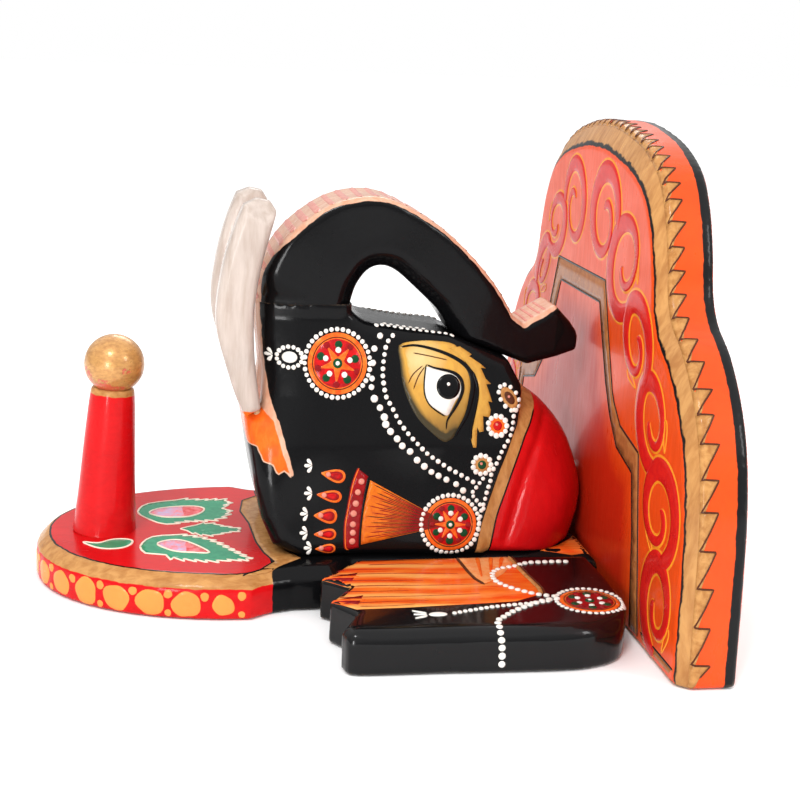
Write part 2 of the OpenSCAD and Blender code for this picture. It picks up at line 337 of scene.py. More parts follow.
def shelf_field(x, y, z):
    wide, high = shelf_growth(x)
    edge = inside_distance(np.abs(y) / wide, z / high, SHELF_OUTLINE)
    deep = smax(SHELF_X - x, x - SHELF_BACK, 0.1)
    return smax(smax(edge + 0.3, deep, 2.2), 0.05 - z, 0.6)


# ---- shading ----
class Shade:
    """The node tree of a material or a world, with the few kinds of node that the paints need."""

    def __init__(self, owner):
        owner.use_nodes = True
        self.owner, self.tree = owner, owner.node_tree
        self.tree.nodes.clear()
        self.spot = self.add("ShaderNodeTexCoord").outputs["Object"]

    def add(self, kind, values=None, **settings):
        node = self.tree.nodes.new(kind)
        for key, value in settings.items():
            setattr(node, key, value)
        for key, value in (values or {}).items():
            socket = node.inputs[key]
            if isinstance(value, bpy.types.NodeSocket):
                self.tree.links.new(value, socket)
            elif socket.type == "RGBA":
                socket.default_value = (*value, 1)
            else:
                socket.default_value = value
        return node

    def math(self, operation, a, b):
        return self.add("ShaderNodeMath", {0: a, 1: b}, operation=operation).outputs[0]

    def span(self, value, low, high, to_low=0.0, to_high=1.0):
        node = self.add("ShaderNodeMapRange", {"Value": value, "From Min": low, "From Max": high,
                                               "To Min": to_low, "To Max": to_high})
        return node.outputs["Result"]

    def mix(self, share, a, b):
        return self.add("ShaderNodeMix", {0: share, 6: a, 7: b}, data_type="RGBA").outputs[2]

    def noise(self, size, detail=3.0, rough=0.55, stretch=(1, 1, 1), bend=0.0):
        """Noise whose grains are about size millimetres, drawn out along the axes by stretch."""
        scale = tuple(1000 / (size * s) for s in stretch)
        spot = self.add("ShaderNodeMapping", {"Vector": self.spot, "Scale": scale}).outputs[0]
        values = {"Vector": spot, "Scale": 1.0, "Detail": detail, "Roughness": rough, "Distortion": bend}
        return self.add("ShaderNodeTexNoise", values).outputs["Fac"]

    def value(self, attribute):
        return self.add("ShaderNodeAttribute", attribute_name=attribute).outputs["Fac"]

    def finish(self, colour, rough, height, coat=0.5, metal=0.0, height_mm=0.25, coat_rough=0.08, sheen=0.5):
        bump = self.add("ShaderNodeBump", {"Height": height, "Distance": height_mm / 1000, "Strength": 1.0})
        shader = self.add("ShaderNodeBsdfPrincipled", {
            "Base Color": colour, "Roughness": rough, "Metallic": metal, "Normal": bump.outputs[0],
            "Coat Weight": coat, "Coat Roughness": coat_rough, "Specular IOR Level": sheen})
        self.add("ShaderNodeOutputMaterial", {"Surface": shader.outputs[0]})
        return self.owner


def painted(name, base, layers=(), streak=(1, 1, 1), rough=0.22, coat=0.14, wear=0.35, depth=0.14,
            uneven=0.12, worn=(0.42, 0.27, 0.15), metal=0.0, fades=(), sheen=0.07):
    """Lacquered hand-brushed paint. Each layer is (attribute, low, high, colour[, second colour]): the colour
    shows where the attribute, in millimetres, lies between low and high. The second colour comes in streaks.
    Each fade is (attribute, low, high, colour): the colour comes up slowly from low to high."""
    s = Shade(bpy.data.materials.new(name))
    brush = s.noise(3.2, 4, 0.6, streak, 0.4)
    broad = s.noise(26, 2, 0.5, bend=0.6)
    fine = s.noise(0.7, 2, 0.6)
    wobble = s.math("MULTIPLY", s.math("SUBTRACT", s.noise(5, 2, 0.5), 0.5), 1.3)

    def tone(colours):
        if len(colours) == 1:
            return s.mix(s.span(brush, 0.35, 0.7), colours[0], [c * (1 - uneven) for c in colours[0]])
        return s.mix(s.span(brush, 0.36, 0.66), colours[0], colours[1])

    colour = tone(base)
    for attribute, low, high, shade in fades:
        at = s.math("ADD", s.value(attribute), s.math("MULTIPLY", s.math("SUBTRACT", brush, 0.5), 0.5))
        colour = s.mix(s.span(at, low, high), colour, shade)
    for attribute, low, high, *colours in layers:
        at = s.math("ADD", s.value(attribute), wobble)
        mask = 1.0
        if low is not None:
            mask = s.math("MULTIPLY", mask, s.span(at, low - 0.12, low + 0.12))
        if high is not None:
            mask = s.math("MULTIPLY", mask, s.span(at, high - 0.12, high + 0.12, 1.0, 0.0))
        colour = s.mix(mask, colour, tone(colours))
    colour = s.mix(s.span(broad, 0.3, 0.75, 0.0, uneven), colour, (0.0, 0.0, 0.0))
    edge = s.add("ShaderNodeNewGeometry").outputs["Pointiness"]
    rub = s.math("MULTIPLY", s.span(edge, 0.53, 0.6), s.span(s.noise(2.2, 4, 0.7), 0.45, 0.62))
    colour = s.mix(s.math("MULTIPLY", rub, wear), colour, worn)
    gloss = s.span(s.math("ADD", s.math("MULTIPLY", broad, 0.6), s.math("MULTIPLY", brush, 0.4)),
                   0.3, 0.7, rough * 0.75, rough * 1.35)
    height = s.math("ADD", s.math("MULTIPLY", brush, 0.8), s.math("MULTIPLY", fine, 0.2))
    return s.finish(colour, gloss, height, coat, metal, depth, sheen=sheen)


def gold_with_red_patches(name):
    """Gold paint with red patches, more of them towards the bottom of the ball."""
    s = Shade(bpy.data.materials.new(name))
    brush, patch, fleck = s.noise(2.4, 3, 0.6, (1, 1, 0.5)), s.noise(9, 4, 0.7), s.noise(0.8, 2)
    colour = s.mix(s.span(brush, 0.35, 0.7), (0.57, 0.29, 0.085), (0.38, 0.17, 0.045))
    low = s.math("MULTIPLY", s.math("SUBTRACT", 73.0, s.value("along")), 0.012)
    # Red patches with less metal, more of them lower down on the ball.
    red_patch = s.span(s.math("ADD", patch, low), 0.58, 0.61)
    colour = s.mix(s.math("MULTIPLY", red_patch, 0.85), colour, (0.50, 0.06, 0.035))
    metal = s.span(red_patch, 0.0, 1.0, 0.3, 0.0)
    rough = s.span(brush, 0.3, 0.7, 0.26, 0.42)
    height = s.math("SUBTRACT", s.math("ADD", brush, s.math("MULTIPLY", fleck, 0.3)), red_patch)
    return s.finish(colour, rough, height, 0.3, metal, 0.12)


def bare_wood(name, pale, dark, grain=(1, 8, 1)):
    """Unpainted wood: rings and pores along the grain."""
    s = Shade(bpy.data.materials.new(name))
    rings = s.noise(1.6, 4, 0.6, grain, 1.2)
    pores = s.noise(0.35, 2, 0.7, grain)
    colour = s.mix(s.span(rings, 0.35, 0.65), pale, dark)
    colour = s.mix(s.span(pores, 0.62, 0.75, 0, 0.5), colour, [c * 0.5 for c in dark])
    return s.finish(colour, s.span(rings, 0.3, 0.7, 0.5, 0.7), pores, 0.05, height_mm=0.15, sheen=0.3)


def steel(name):
    s = Shade(bpy.data.materials.new(name))
    scuff = s.noise(0.8, 4, 0.65, (1, 6, 1))
    colour = s.mix(s.span(scuff, 0.35, 0.7), (0.56, 0.55, 0.52), (0.34, 0.33, 0.31))
    return s.finish(colour, s.span(scuff, 0.3, 0.7, 0.22, 0.5), scuff, 0.0, 1.0, 0.03)


BLACK = (0.0035, 0.0035, 0.004)
RED = (0.59, 0.006, 0.008)
DEEP_RED = (0.30, 0.006, 0.008)
ORANGE = (0.74, 0.070, 0.007)
BRIGHT_ORANGE = (0.80, 0.185, 0.022)
SPOT_ORANGE = (0.78, 0.27, 0.06)
PEACH = (0.60, 0.29, 0.18)
CREAM = (0.64, 0.40, 0.28)
GOLD = (0.36, 0.15, 0.042)
PALE_GOLD = (0.52, 0.26, 0.085)
IVORY = (0.54, 0.46, 0.41)
WHITE = (0.80, 0.78, 0.74)
GREEN = (0.016, 0.24, 0.12)
PINK = (0.83, 0.20, 0.22)
BROWN = (0.09, 0.025, 0.01)

# ---- the carved pieces, and the lines painted on the head, drawn in (x, z) ----
STRIP = [
    (20, 84), (31.8, 84), (34.2, 76), (35.4, 74.5), (39, 61.8), (41.6, 52.6), (40.3, 52.2), (36.8, 61.8),
    (33, 74.5), (20, 78)]
HEAD_EDGE = [(27.6, SEAM_Z), (29.4, 98.5), (31.4, 86), (33.4, 74), (38.4, 59.4), (43.4, 52.2)]
BROW_IN = [
    (139.6, 92), (139.6, 86.3), (138.8, 79.7), (137.6, 73.8), (135, 68.2), (132.3, 61.3), (129.3, 54),
    (126.4, 45.4), (124, 38), (121.6, 29.6), (119.5, BOARD_T)]
BROW_OUT = [
    (153, 92), (151, 82), (148, 77.1), (144.7, 72.7), (141.2, 67.7), (138.2, 61), (135.1, 52.6),
    (132.2, 43.9), (129.3, 35.3), (127.5, 26.7), (126, BOARD_T)]
DOME_GROOVE = [
    (156.2, 76), (150.4, 69.8), (145.2, 61.8), (141.5, 52.4), (138.6, 42.6), (136, 33), (133.5, 24)]
TUSK_ROOT = [
    (10, 79), (28, 79), (33, 74.5), (36.8, 61.8), (40.3, 52.2), (37.2, 55), (34.8, 53.4), (32.5, 57.6),
    (28.9, 58.2), (26.5, 64), (10, 67)]


def side_view(sign, *points):
    """Distance from an outline drawn in (x, z): with sign 1 it is negative inside, with -1 positive."""
    return lambda x, y, z: sign * inside_distance(x, z, points)


def carve(node, field, low, high, step, material, attributes, flip=False):
    """Makes the visible piece for a CAD node. Each attribute is a function of (x, y, z)."""
    verts, quads = surface_of(field, low, high, step)
    values = {key: measure(*verts.T) for key, measure in attributes.items()}
    if flip:
        verts = verts * [1, -1, 1]
        quads = quads[:, ::-1]
    piece = new_object("painted_" + node, verts, quads, material, values)
    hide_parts(node)
    return verts, quads, slot_of(material)


board_outline = np.vstack([BOARD_EDGE, [(SHELF_X + 60, NECK_W)]])
board_outline = np.vstack([board_outline, board_outline[::-1] * [1, -1]])
board_paint = painted("board_paint", [RED], [
    ("edge", -6.3, None, BLACK), ("edge", -5.4, None, PALE_GOLD, GOLD), ("side", 0.0, None, RED),
    ("dark", 0.0, None, BLACK)], streak=(3, 1, 1))
board_mesh = carve("back_board", board_field, (END_X - END_L, -END_W, 0), (SHELF_X, END_W, BOARD_T), 1.1,
                   board_paint, {
                       "edge": lambda x, y, z: inside_distance(x, y, board_outline),
                       "side": lambda x, y, z: BOARD_T - BOARD_BEVEL - z,
                       "dark": lambda x, y, z: x - NECK_X})

FRAME_OUT = [
    (-26.3, 135.2), (-35.6, 114.1), (-46.5, 91.2), (-50, 87), (-60.2, 79.4), (-85.3, 74.6), (-90.5, 49.8),
    (-97.4, 16.9), (-101, 2.5)]
FRAME_IN = [
    (-20.3, 124.8), (-28.5, 108.4), (-36.4, 93), (-45.4, 80.4), (-57.3, 69.5), (-79, 64.6), (-85, 39.7),
    (-88, 18.7), (-90.5, 2.5)]
FRAME_MIDDLE = 10.9


def both_ways(half, middle):
    other = [(2 * middle - y, z) for y, z in half]
    return np.array(half[::-1] + other, float)


frame_out, frame_in = both_ways(FRAME_OUT, FRAME_MIDDLE), both_ways(FRAME_IN, FRAME_MIDDLE)
# The band fade is a painted highlight, a brighter orange strip along the middle of the shelf's rounded edge.
shelf_paint = painted("shelf_paint", [ORANGE], [
    ("inset", -0.9, None, BLACK), ("depth", 0.9, None, PALE_GOLD, GOLD),
    ("depth", 5.6, None, ORANGE), ("depth", 18.6, 23.0, BLACK),
    ("back", 8.0, 12.8, BLACK), ("back", 8.7, 12.1, PALE_GOLD, GOLD)],
    streak=(2, 1, 5), coat=0.16, rough=0.32, sheen=0.14,
    fades=[("band", 0.35, 1.0, BRIGHT_ORANGE), ("low", 0.0, 1.0, (0.50, 0.020, 0.005))])


def on_shelf_back(x, y, z):
    """How far from the edge a point of the outer face is, and -20 everywhere else."""
    wide, high = shelf_growth(SHELF_BACK)
    inset = -inside_distance(np.abs(y) / wide, z / high, SHELF_OUTLINE)
    return np.where(x > SHELF_BACK - 0.8, np.minimum(z, inset), -20)


shelf_mesh = carve("shelf_board", shelf_field, (SHELF_X, -SHELF_W, 0), (SHELF_BACK, SHELF_W, SHELF_H), 1.3,
                   shelf_paint, {
                       "inset": lambda x, y, z: inside_distance(np.abs(y), z, SHELF_OUTLINE),
                       "depth": lambda x, y, z: x - SHELF_X,
                       "back": on_shelf_back,
                       "band": lambda x, y, z: 1 - np.abs(x - SHELF_X - HIGHLIGHT_X) / 5,
                       "low": lambda x, y, z: -inside_distance(y, z, frame_in) / 14 - 9 * (x > SHELF_X + 2)})

head_paint = painted("head_paint", [BLACK], streak=(1, 1, 2.5), layers=[
    ("front", 0.0, None, PEACH, CREAM), ("jaw", 0.0, None, BLACK), ("root", None, 0.5, CREAM),
    ("strip", None, 0.0, PEACH, CREAM),
    ("root", None, 0.0, (0.80, 0.095, 0.010), (0.84, 0.15, 0.015)), ("dome", 0.0, None, RED),
    ("brow", None, 0.0, PALE_GOLD, GOLD)])
head_mesh = carve("head_block", head_field, (18, -HEAD_W - 2, BOARD_T - 2), (SHELF_X, HEAD_W + 2, SEAM_Z),
                  1.1, head_paint, {
                      "front": side_view(-1, *HEAD_EDGE, (43, 0), (0, 0), (0, 200), (27.6, 200)),
                      "jaw": lambda x, y, z: JAW_Z - z,
                      "root": side_view(1, *TUSK_ROOT),
                      "strip": side_view(1, *STRIP),
                      "dome": side_view(-1, *BROW_OUT, (126, 0), (300, 0), (300, 300), (153, 300)),
                      "brow": side_view(1, *BROW_OUT, *BROW_IN[::-1])})

trunk_paint = painted("trunk_paint", [BLACK], [("front", 0.0, None, PEACH, CREAM)])


def on_trunk_front(x, y, z):
    """Positive within a narrow way of the outer curve; near the head it stays off the edges."""
    low = np.clip((150 - z) / 15, 0, 1) * (x < 60)
    near_edge = np.clip((np.abs(y) - ROOT_W + 8) / 4, 0, 1)
    return 1.6 - 3 * low * near_edge - line_distance(x, z, np.vstack([TRUNK_OUTER, TRUNK_TIP[:2]]))


trunk_mesh = carve("trunk", trunk_field, (26, -ROOT_W - 1, 94), (172, ROOT_W + 1, 169), 1.0, trunk_paint,
                   {"front": on_trunk_front})

tusk_paint = painted("tusk_paint", [IVORY, (0.43, 0.35, 0.30)], [("root", 0.0, None, BRIGHT_ORANGE, ORANGE)],
                     streak=(1, 1, 8), wear=0.3, worn=(0.25, 0.16, 0.10))
ear_paint = painted("ear_paint", [BLACK], fades=[("warm", 0.2, 1.2, (0.016, 0.003, 0.003))], coat=0.35)
for side, flip in (("left", False), ("right", True)):
    carve("tusk_" + side, tusk_field, (7, TUSK_IN - 1, 74), (35, TUSK_OUT + 1, 168), 0.8, tusk_paint,
          {"root": lambda x, y, z: TUSK_ORANGE_Z - z}, flip)
    ear_mesh = carve("ear_" + side, ear_field, (49, NECK_W, 0), (171, EAR_W + 1, EAR_T), 1.0, ear_paint,
                     {"warm": lambda x, y, z: (x - 100) / 50 + (z - 20) / 10}, flip)

# ---- ornament: thin raised paint laid on the carved surfaces ----
class Ornament:
    """Brushed dots, lines and shapes on one surface, drawn flat in (u, v) and then laid on it.

    spread turns (u, v) into a point near the surface, and toward is the way to the surface from there.
    Without toward, the nearest point of the surface is used. mirror repeats it all on the other side."""

    def __init__(self, name, carved, spread, toward=None, mirror=True):
        verts, faces, self.slot = carved
        self.name, self.spread, self.toward, self.mirror = name, spread, toward, mirror
        self.tree = tree_of(verts, faces)
        self.parts = {}

    def lay(self, paint, points, heights, faces, tones=0.0):
        spots = np.empty((len(points), 3))
        for i, (u, v) in enumerate(points):
            start = Vector(self.spread(u, v))
            hit = self.tree.ray_cast(start, Vector(self.toward)) if self.toward else (None,)
            if hit[0] is None:
                hit = self.tree.find_nearest(start)
            spots[i] = hit[0] + hit[1] * float(heights[i])
        verts, all_faces, all_tones = self.parts.setdefault(paint, ([], [], []))
        first = sum(len(v) for v in verts)
        verts.append(spots)
        all_faces.extend([tuple(first + k for k in f) for f in faces])
        all_tones.append(np.broadcast_to(tones, len(points)))

    def shape(self, paint, outline, lift=0.15, height=0.1, rings=(1, 0.93, 0.7, 0.36), tone=None):
        """A filled outline that every ray from its middle crosses once, highest in the middle."""
        outline = np.asarray(outline, float)
        middle, n = outline.mean(0), len(outline)
        points = [middle + (outline - middle) * r for r in rings] + [middle[None]]
        heights = [np.full(n, lift + height * math.sqrt(1 - r * r) if r < 1 else -0.1) for r in rings]
        heights.append([lift + height])
        faces = [(r * n + i, r * n + (i + 1) % n, (r + 1) * n + (i + 1) % n, (r + 1) * n + i)
                 for r in range(len(rings) - 1) for i in range(n)]
        last = (len(rings) - 1) * n
        faces += [(last + i, last + (i + 1) % n, last + n) for i in range(n)]
        points = np.vstack(points)
        self.lay(paint, points, np.concatenate(heights), faces, tone(points) if tone else 0.0)

    def dot(self, paint, u, v, r, lift=0.1, height=None, tall=1.0, turn=0.0, n=12):
        around = np.linspace(0, 2 * math.pi, n, endpoint=False)
        r = r * rng.uniform(0.92, 1.08)
        a, b = r * np.cos(around), r * tall * np.sin(around)
        ring = np.stack([u + a * math.cos(turn) - b * math.sin(turn),
                         v + a * math.sin(turn) + b * math.cos(turn)], 1)
        self.shape(paint, ring, lift, r * 0.42 if height is None else height)

    def stroke(self, paint, path, width, lift=0.1, height=0.18, ends=(1, 1), step=0.9):
        """A brushed line. width is one number or one per point of the path; ends taper where they are 0."""
        path = np.asarray(path, float)
        along = distances(path)
        at = np.linspace(0, along[-1], max(int(along[-1] / step), 3) + 1)
        line = np.stack([np.interp(at, along, path[:, i]) for i in (0, 1)], 1)
        wide = np.interp(at, along, width) if np.ndim(width) else np.full(len(at), float(width))
        near_end = [np.clip(gap / (wide + 0.01), 0, 1) for gap in (at, at[-1] - at)]
        for end, shrink in zip(ends, near_end):
            wide = wide * (shrink ** 0.6 if end == 0 else np.sqrt(np.clip(1 - (1 - shrink) ** 2, 0.05, 1)))
        run = np.gradient(line, axis=0)
        across = np.stack([-run[:, 1], run[:, 0]], 1) / np.maximum(np.hypot(*run.T), 1e-6)[:, None]
        share = np.array([-0.5, -0.42, -0.2, 0.2, 0.42, 0.5])
        rise = np.array([-0.1, lift + 0.3 * height, lift + height, lift + height, lift + 0.3 * height, -0.1])
        n, m = len(line), len(share)
        points = (line[:, None] + across[:, None] * share[None, :, None] * wide[:, None, None]).reshape(-1, 2)
        faces = [(i * m + k, i * m + k + 1, (i + 1) * m + k + 1, (i + 1) * m + k)
                 for i in range(n - 1) for k in range(m - 1)]
        self.lay(paint, points, np.tile(rise, n), faces)

    def fill(self, paint, outline, lift=0.12, step=2.2, tone=None):
        """Any filled outline, cut into small triangles so that it follows the surface."""
        outline = np.asarray(outline, float)
        edge = []
        for a, b in zip(outline, np.roll(outline, -1, 0)):
            parts = max(int(np.hypot(*(b - a)) / step), 1)
            edge += [a + (b - a) * k / parts for k in range(parts)]
        edge = np.array(edge)
        low, high = edge.min(0), edge.max(0)
        u, v = np.meshgrid(np.arange(low[0], high[0], step), np.arange(low[1], high[1], step * 0.87))
        u = u + (np.arange(len(u)) % 2)[:, None] * step / 2
        keep = inside_distance(u, v, outline) < -0.55 * step
        inner = np.stack([u[keep], v[keep]], 1)
        n = len(edge)
        points, _, faces, *_ = delaunay_2d_cdt(
            [Vector(q) for q in np.vstack([edge, inner])], [(i, (i + 1) % n) for i in range(n)], [], 1, 1e-5)
        points = np.array([tuple(q) for q in points])
        ring = len(points)
        skirt = [(i, (i + 1) % n, ring + (i + 1) % n, ring + i) for i in range(n)]
        heights = np.concatenate([np.full(ring, lift), np.full(n, -0.1)])
        points = np.vstack([points, points[:n]])
        self.lay(paint, points, heights, [tuple(f) for f in faces] + skirt, tone(points) if tone else 0.0)

    def dots(self, paint, points, r, **more):
        for i, (u, v) in enumerate(points):
            self.dot(paint, u, v, r[i] if np.ndim(r) else r, **more)

    def emit(self):
        for paint, (verts, faces, tones) in self.parts.items():
            verts, tones = np.vstack(verts), np.concatenate(tones)
            if self.mirror:
                n = len(verts)
                verts = np.vstack([verts, verts * [1, -1, 1]])
                faces = faces + [tuple(n + k for k in f[::-1]) for f in faces]
                tones = np.tile(tones, 2)
            piece = new_object(f"{self.name}_{paint}", verts, faces, PAINTS[paint], {"t": tones})
            fix_normals(piece)


FROM_ABOVE = (lambda u, v: (u, v, 200)), (0, 0, -1)


def fix_normals(piece):
    """Turns each loose patch so that its faces look away from the surface under it."""
    mesh = bmesh.new()
    mesh.from_mesh(piece.data)
    bmesh.ops.recalc_face_normals(mesh, faces=mesh.faces)
    mesh.to_mesh(piece.data)
    mesh.free()


def ring_of(u, v, r, count, start=0.0, tall=1.0):
    t = start + np.linspace(0, 2 * math.pi, count, endpoint=False)
    return np.stack([u + r * np.cos(t), v + r * tall * np.sin(t)], 1)


def even(path, pitch):
    """Points at an even pitch along a path."""
    path = np.asarray(path, float)
    along = distances(path)
    at = np.linspace(0, along[-1], max(int(round(along[-1] / pitch)), 1) + 1)
    return np.stack([np.interp(at, along, path[:, i]) for i in (0, 1)], 1)


def turned(outline, u, v, angle):
    c, s = math.cos(angle), math.sin(angle)
    o = np.asarray(outline, float)
    return np.stack([u + o[:, 0] * c - o[:, 1] * s, v + o[:, 0] * s + o[:, 1] * c], 1)


def swell(path, *widths):
    """One width for each point of a path, from a few widths spread evenly along it."""
    return np.interp(np.linspace(0, 1, len(path)), np.linspace(0, 1, len(widths)), widths)


def blob(u, v, r, n=26):
    """A round spot with the uneven edge that a brush leaves."""
    t = np.linspace(0, 2 * math.pi, n, endpoint=False)
    a, b, c = rng.uniform(0, 6.28, 3)
    r = r * (1 + 0.06 * np.sin(2 * t + a) + 0.045 * np.sin(3 * t + b) + 0.03 * np.sin(5 * t + c))
    return np.stack([u + r * np.cos(t), v + r * np.sin(t)], 1)


def serrated(outline, pitch, tooth, where, lean=0.5):
    """A closed outline with saw teeth on the parts where the test holds."""
    outline = np.asarray(outline, float)
    points = even(np.vstack([outline, outline[:1]]), pitch)[:-1]
    middle = points.mean(0)
    out = []
    for a, b in zip(points, np.roll(points, -1, 0)):
        out.append(a)
        if where(*a):
            run = b - a
            away = np.array([run[1], -run[0]])
            away = away if np.dot(away, a - middle) > 0 else -away
            forward = run if run[0] > 0 else -run
            out.append((a + b) / 2 + away / np.hypot(*run) * tooth + forward * lean)
    return np.array(out)


def teardrop(length, width, n=22):
    """A drop along +u with its point at -u."""
    t = np.linspace(0, 2 * math.pi, n, endpoint=False)
    return np.stack([length / 2 * np.cos(t), width / 2 * np.sin(t) * (0.62 + 0.38 * np.cos(t))], 1)


def dab(name, *colours, layers=(), **more):
    return painted(name, colours, layers, wear=0.0, depth=0.12, uneven=0.12, **more)


PAINTS = {
    "white": dab("white_dots", WHITE, (0.78, 0.74, 0.66)),
    "black": dab("black_lines", BLACK),
    "red": dab("red_ornament", RED, DEEP_RED),
    "deep": dab("deep_red_ornament", DEEP_RED, (0.20, 0.008, 0.01)),
    "orange": dab("orange_ornament", BRIGHT_ORANGE, ORANGE),
    "fan": dab("fan_ornament", (0.70, 0.17, 0.01), (0.56, 0.10, 0.01),
               layers=[("t", 0.7, None, ORANGE, RED)]),
    "spot": dab("rim_spots", SPOT_ORANGE, (0.80, 0.28, 0.06)),
    "yellow": dab("yellow_eye", (0.60, 0.33, 0.06), (0.50, 0.26, 0.05), fades=[
        ("t", 0.2, 1.1, (0.66, 0.52, 0.24)), ("t", -0.3, -2.2, (0.05, 0.04, 0.02))], streak=(1, 1, 3)),
    "line": dab("yellow_lines", (0.80, 0.27, 0.02)),
    "scroll": dab("scroll_red", (0.60, 0.016, 0.010), (0.52, 0.010, 0.010)),
    "green": dab("green_ornament", GREEN, (0.03, 0.30, 0.15)),
    "dark_green": dab("dark_green_ornament", (0.006, 0.055, 0.018)),
    "cream": dab("cream_lines", (0.86, 0.74, 0.60)),
    "pink": dab("pink_ornament", (0.62, 0.20, 0.15), (0.66, 0.27, 0.20)),
    "lavender": dab("lavender_ornament", (0.50, 0.40, 0.62), PINK, layers=[("t", 0.0, None, RED, PINK)]),
    "gold": dab("gold_ornament", PALE_GOLD, GOLD),
    "brown": dab("brown_lines", BROWN),
    "frame": dab("frame_band", (0.30, 0.10, 0.03), (0.40, 0.15, 0.045)),
    "pleat": dab("pleat_ornament", (0.80, 0.36, 0.14), (0.80, 0.22, 0.05)),
    "ear": dab("ear_stripes", ORANGE, BRIGHT_ORANGE, fades=[("t", 0.2, 1.1, (0.84, 0.36, 0.09))],
               streak=(6, 1, 1)),
}

# The face, drawn in (x, z) and laid on the sloping side of the head.
PEARLS_OUTER = [
    (78.2, 109.8), (75.7, 104.6), (75, 98.8), (74.6, 92.4), (74.3, 88.9), (75.5, 84.2), (77.9, 80.5),
    (79.7, 76.7), (80.3, 73.8), (82.3, 70.9), (85.1, 67.9), (87.3, 65), (90.7, 62.6), (93.8, 58.9),
    (97, 56.2), (100.1, 53.8), (103.2, 52.2), (106.6, 50.6), (110.8, 48.7), (113.9, 46)]
PEARLS_INNER = [
    (83.7, 109.9), (81.5, 107.5), (80.6, 105.2), (79.5, 98.8), (79.2, 92.4), (79.8, 89.5), (80.4, 85.4),
    (83.2, 80.4), (86.1, 74.9), (89.7, 70.2), (94.1, 65.6), (98.1, 61.7), (102.7, 58.5), (107.9, 55.2),
    (112.7, 52.7), (118.2, 49.6)]
PEARLS_BROW = [
    (136.3, 79.5), (135.6, 73), (134.3, 68.3), (131.5, 64.2), (129.7, 60.5), (128.1, 56.8), (126.3, 53.8),
    (125.8, 50.1), (124.9, 47.1), (124, 44), (123.4, 41), (122.2, 37.9), (121.4, 33), (121.1, 30),
    (119.9, 26.9)]
EYE_MAIN = [
    (86.3, 105.9), (93.7, 107.7), (102.5, 107.8), (110.5, 106.3), (113.7, 101.2), (116.9, 95.5),
    (117.3, 89.8), (116.5, 83.6), (114.3, 76.6), (110, 69.1), (107.7, 67.2), (104.9, 66.7), (99.4, 70.9),
    (93.8, 76.6), (89.8, 84.1), (87.5, 91.5), (86.7, 98.9)]
EYE_FEATHER = [
    (108.1, 105), (112.8, 105.6), (117.9, 102.4), (116.7, 101.7), (121.6, 98.6), (124, 96.6), (121.8, 96.9),
    (123.9, 92.4), (126.2, 90.2), (124.1, 90.1), (125.5, 86.3), (126.6, 82.7), (124.8, 83.1), (125.9, 79.6),
    (125.4, 76.5), (122.5, 77), (122.7, 70.8), (120.8, 70.4), (119.9, 72.6), (119.4, 64.2), (118, 64.2),
    (117, 67.8), (117.8, 72.6), (119.5, 79.2), (120.8, 85.8), (120.1, 91.1), (118.3, 95.5), (114.6, 99.9),
    (110.4, 103)]
EYE_WHITE = [
    (98.2, 97.2), (101.5, 96.4), (105.2, 95.5), (109.9, 94.2), (112.6, 90.7), (113.1, 86.3), (110.7, 83.6),
    (109.2, 81), (106.9, 77.3), (103.2, 79.2), (99.9, 81.4), (97.6, 84.9), (97.1, 89.8), (97.6, 94.6)]
LID = [
    (87.2, 105.3), (93.2, 106), (101.1, 104.5), (108.1, 102.1), (113.7, 99), (116.9, 95.5), (118.2, 89.8),
    (117.2, 83.6), (115.3, 77.5), (112.4, 72.6), (110, 68.7)]
OUTER_LID = [
    (118.1, 95.5), (119.9, 90.7), (120.3, 86.3), (119.4, 81), (118.1, 75.7), (117.1, 71.3), (116.9, 66.9)]
INNER_LID = [
    (98.2, 98.1), (101.5, 96.8), (106.1, 95.9), (110.3, 94.6), (113.1, 92), (113.8, 88.5), (113, 85.4),
    (111.6, 82.7), (109.7, 79.7), (107.8, 77), (106.6, 74.8), (106.3, 71.6)]
LOWER_LID = [(98, 98.3), (97.4, 94.6), (96.9, 89.3), (97.3, 85.4), (99, 81.9), (102.2, 79.2), (105.9, 77)]
EYE_WRINKLES = [[(96.4, 97.7), (92.2, 94.1), (90.1, 90.4)], [(97.3, 97.2), (94.5, 93.3), (92.3, 88)],
                [(92.3, 102.9), (98.7, 101.8), (107.1, 100.1)]]
PUPIL, PUPIL_R = (107.5, 89.1), 5.3
FLOWERS = [((134.2, 84.5), "gold", "brown", 2.4, 1.7, 0.62), ((128.8, 73), "orange", "red", 2.7, 1, 0),
           ((121.9, 56.9), "gold", "dark_green", 2.6, 1, 0)]
FAN_TIP = (108.6, 31.4)
FAN_EDGE = [(73.8, 50.6), (72.1, 43.1), (70.5, 35), (70.1, 28.9), (70.2, 23.2)]
ARC_LEFT = [(68.2, 55.8), (65.8, 49.3), (63.9, 39.1), (62.7, 31), (62.9, 22.4), (64.1, 21)]
ARC_RIGHT = [(73, 52.1), (71.6, 44.8), (70.5, 36.6), (69.8, 28.9), (69.6, 22)]
ARC_DOTS = [(70, 50.1), (68.5, 45.6), (67.7, 40.8), (66.8, 36.6), (66.6, 32), (66.6, 28.4), (66.4, 24.7)]
DROPS = [((58, 52.8), 10.8, 6.2, -0.2), ((56.4, 44.1), 11, 5.6, -0.12), ((54.9, 35.6), 10.2, 6.8, -0.05),
         ((54.8, 27.9), 9.8, 5.2, 0), ((55, 21.7), 9, 4.6, 0)]
SPRIGS = [(49.2, 57), (49.3, 45.3), (47.6, 36.6), (47.5, 28.6), (49.3, 22.2)]
MEDAL_ONE, MEDAL_TWO = (59.9, 98.5), (108.6, 31.4)
MINI_RING, MINI_SPRIG = (39.8, 100.6), (33.0, 101.2)


def sprig(art, u, v, size=1.0):
    """Three white leaves that open to the left."""
    for angle in (2.25, 3.14, 4.1):
        a = np.array([u, v]) + 1.9 * size * np.array([math.cos(angle), math.sin(angle)])
        art.shape("white", turned(teardrop(3.4 * size, 2.3 * size, 12), *a, angle), 0.12, 0.35)


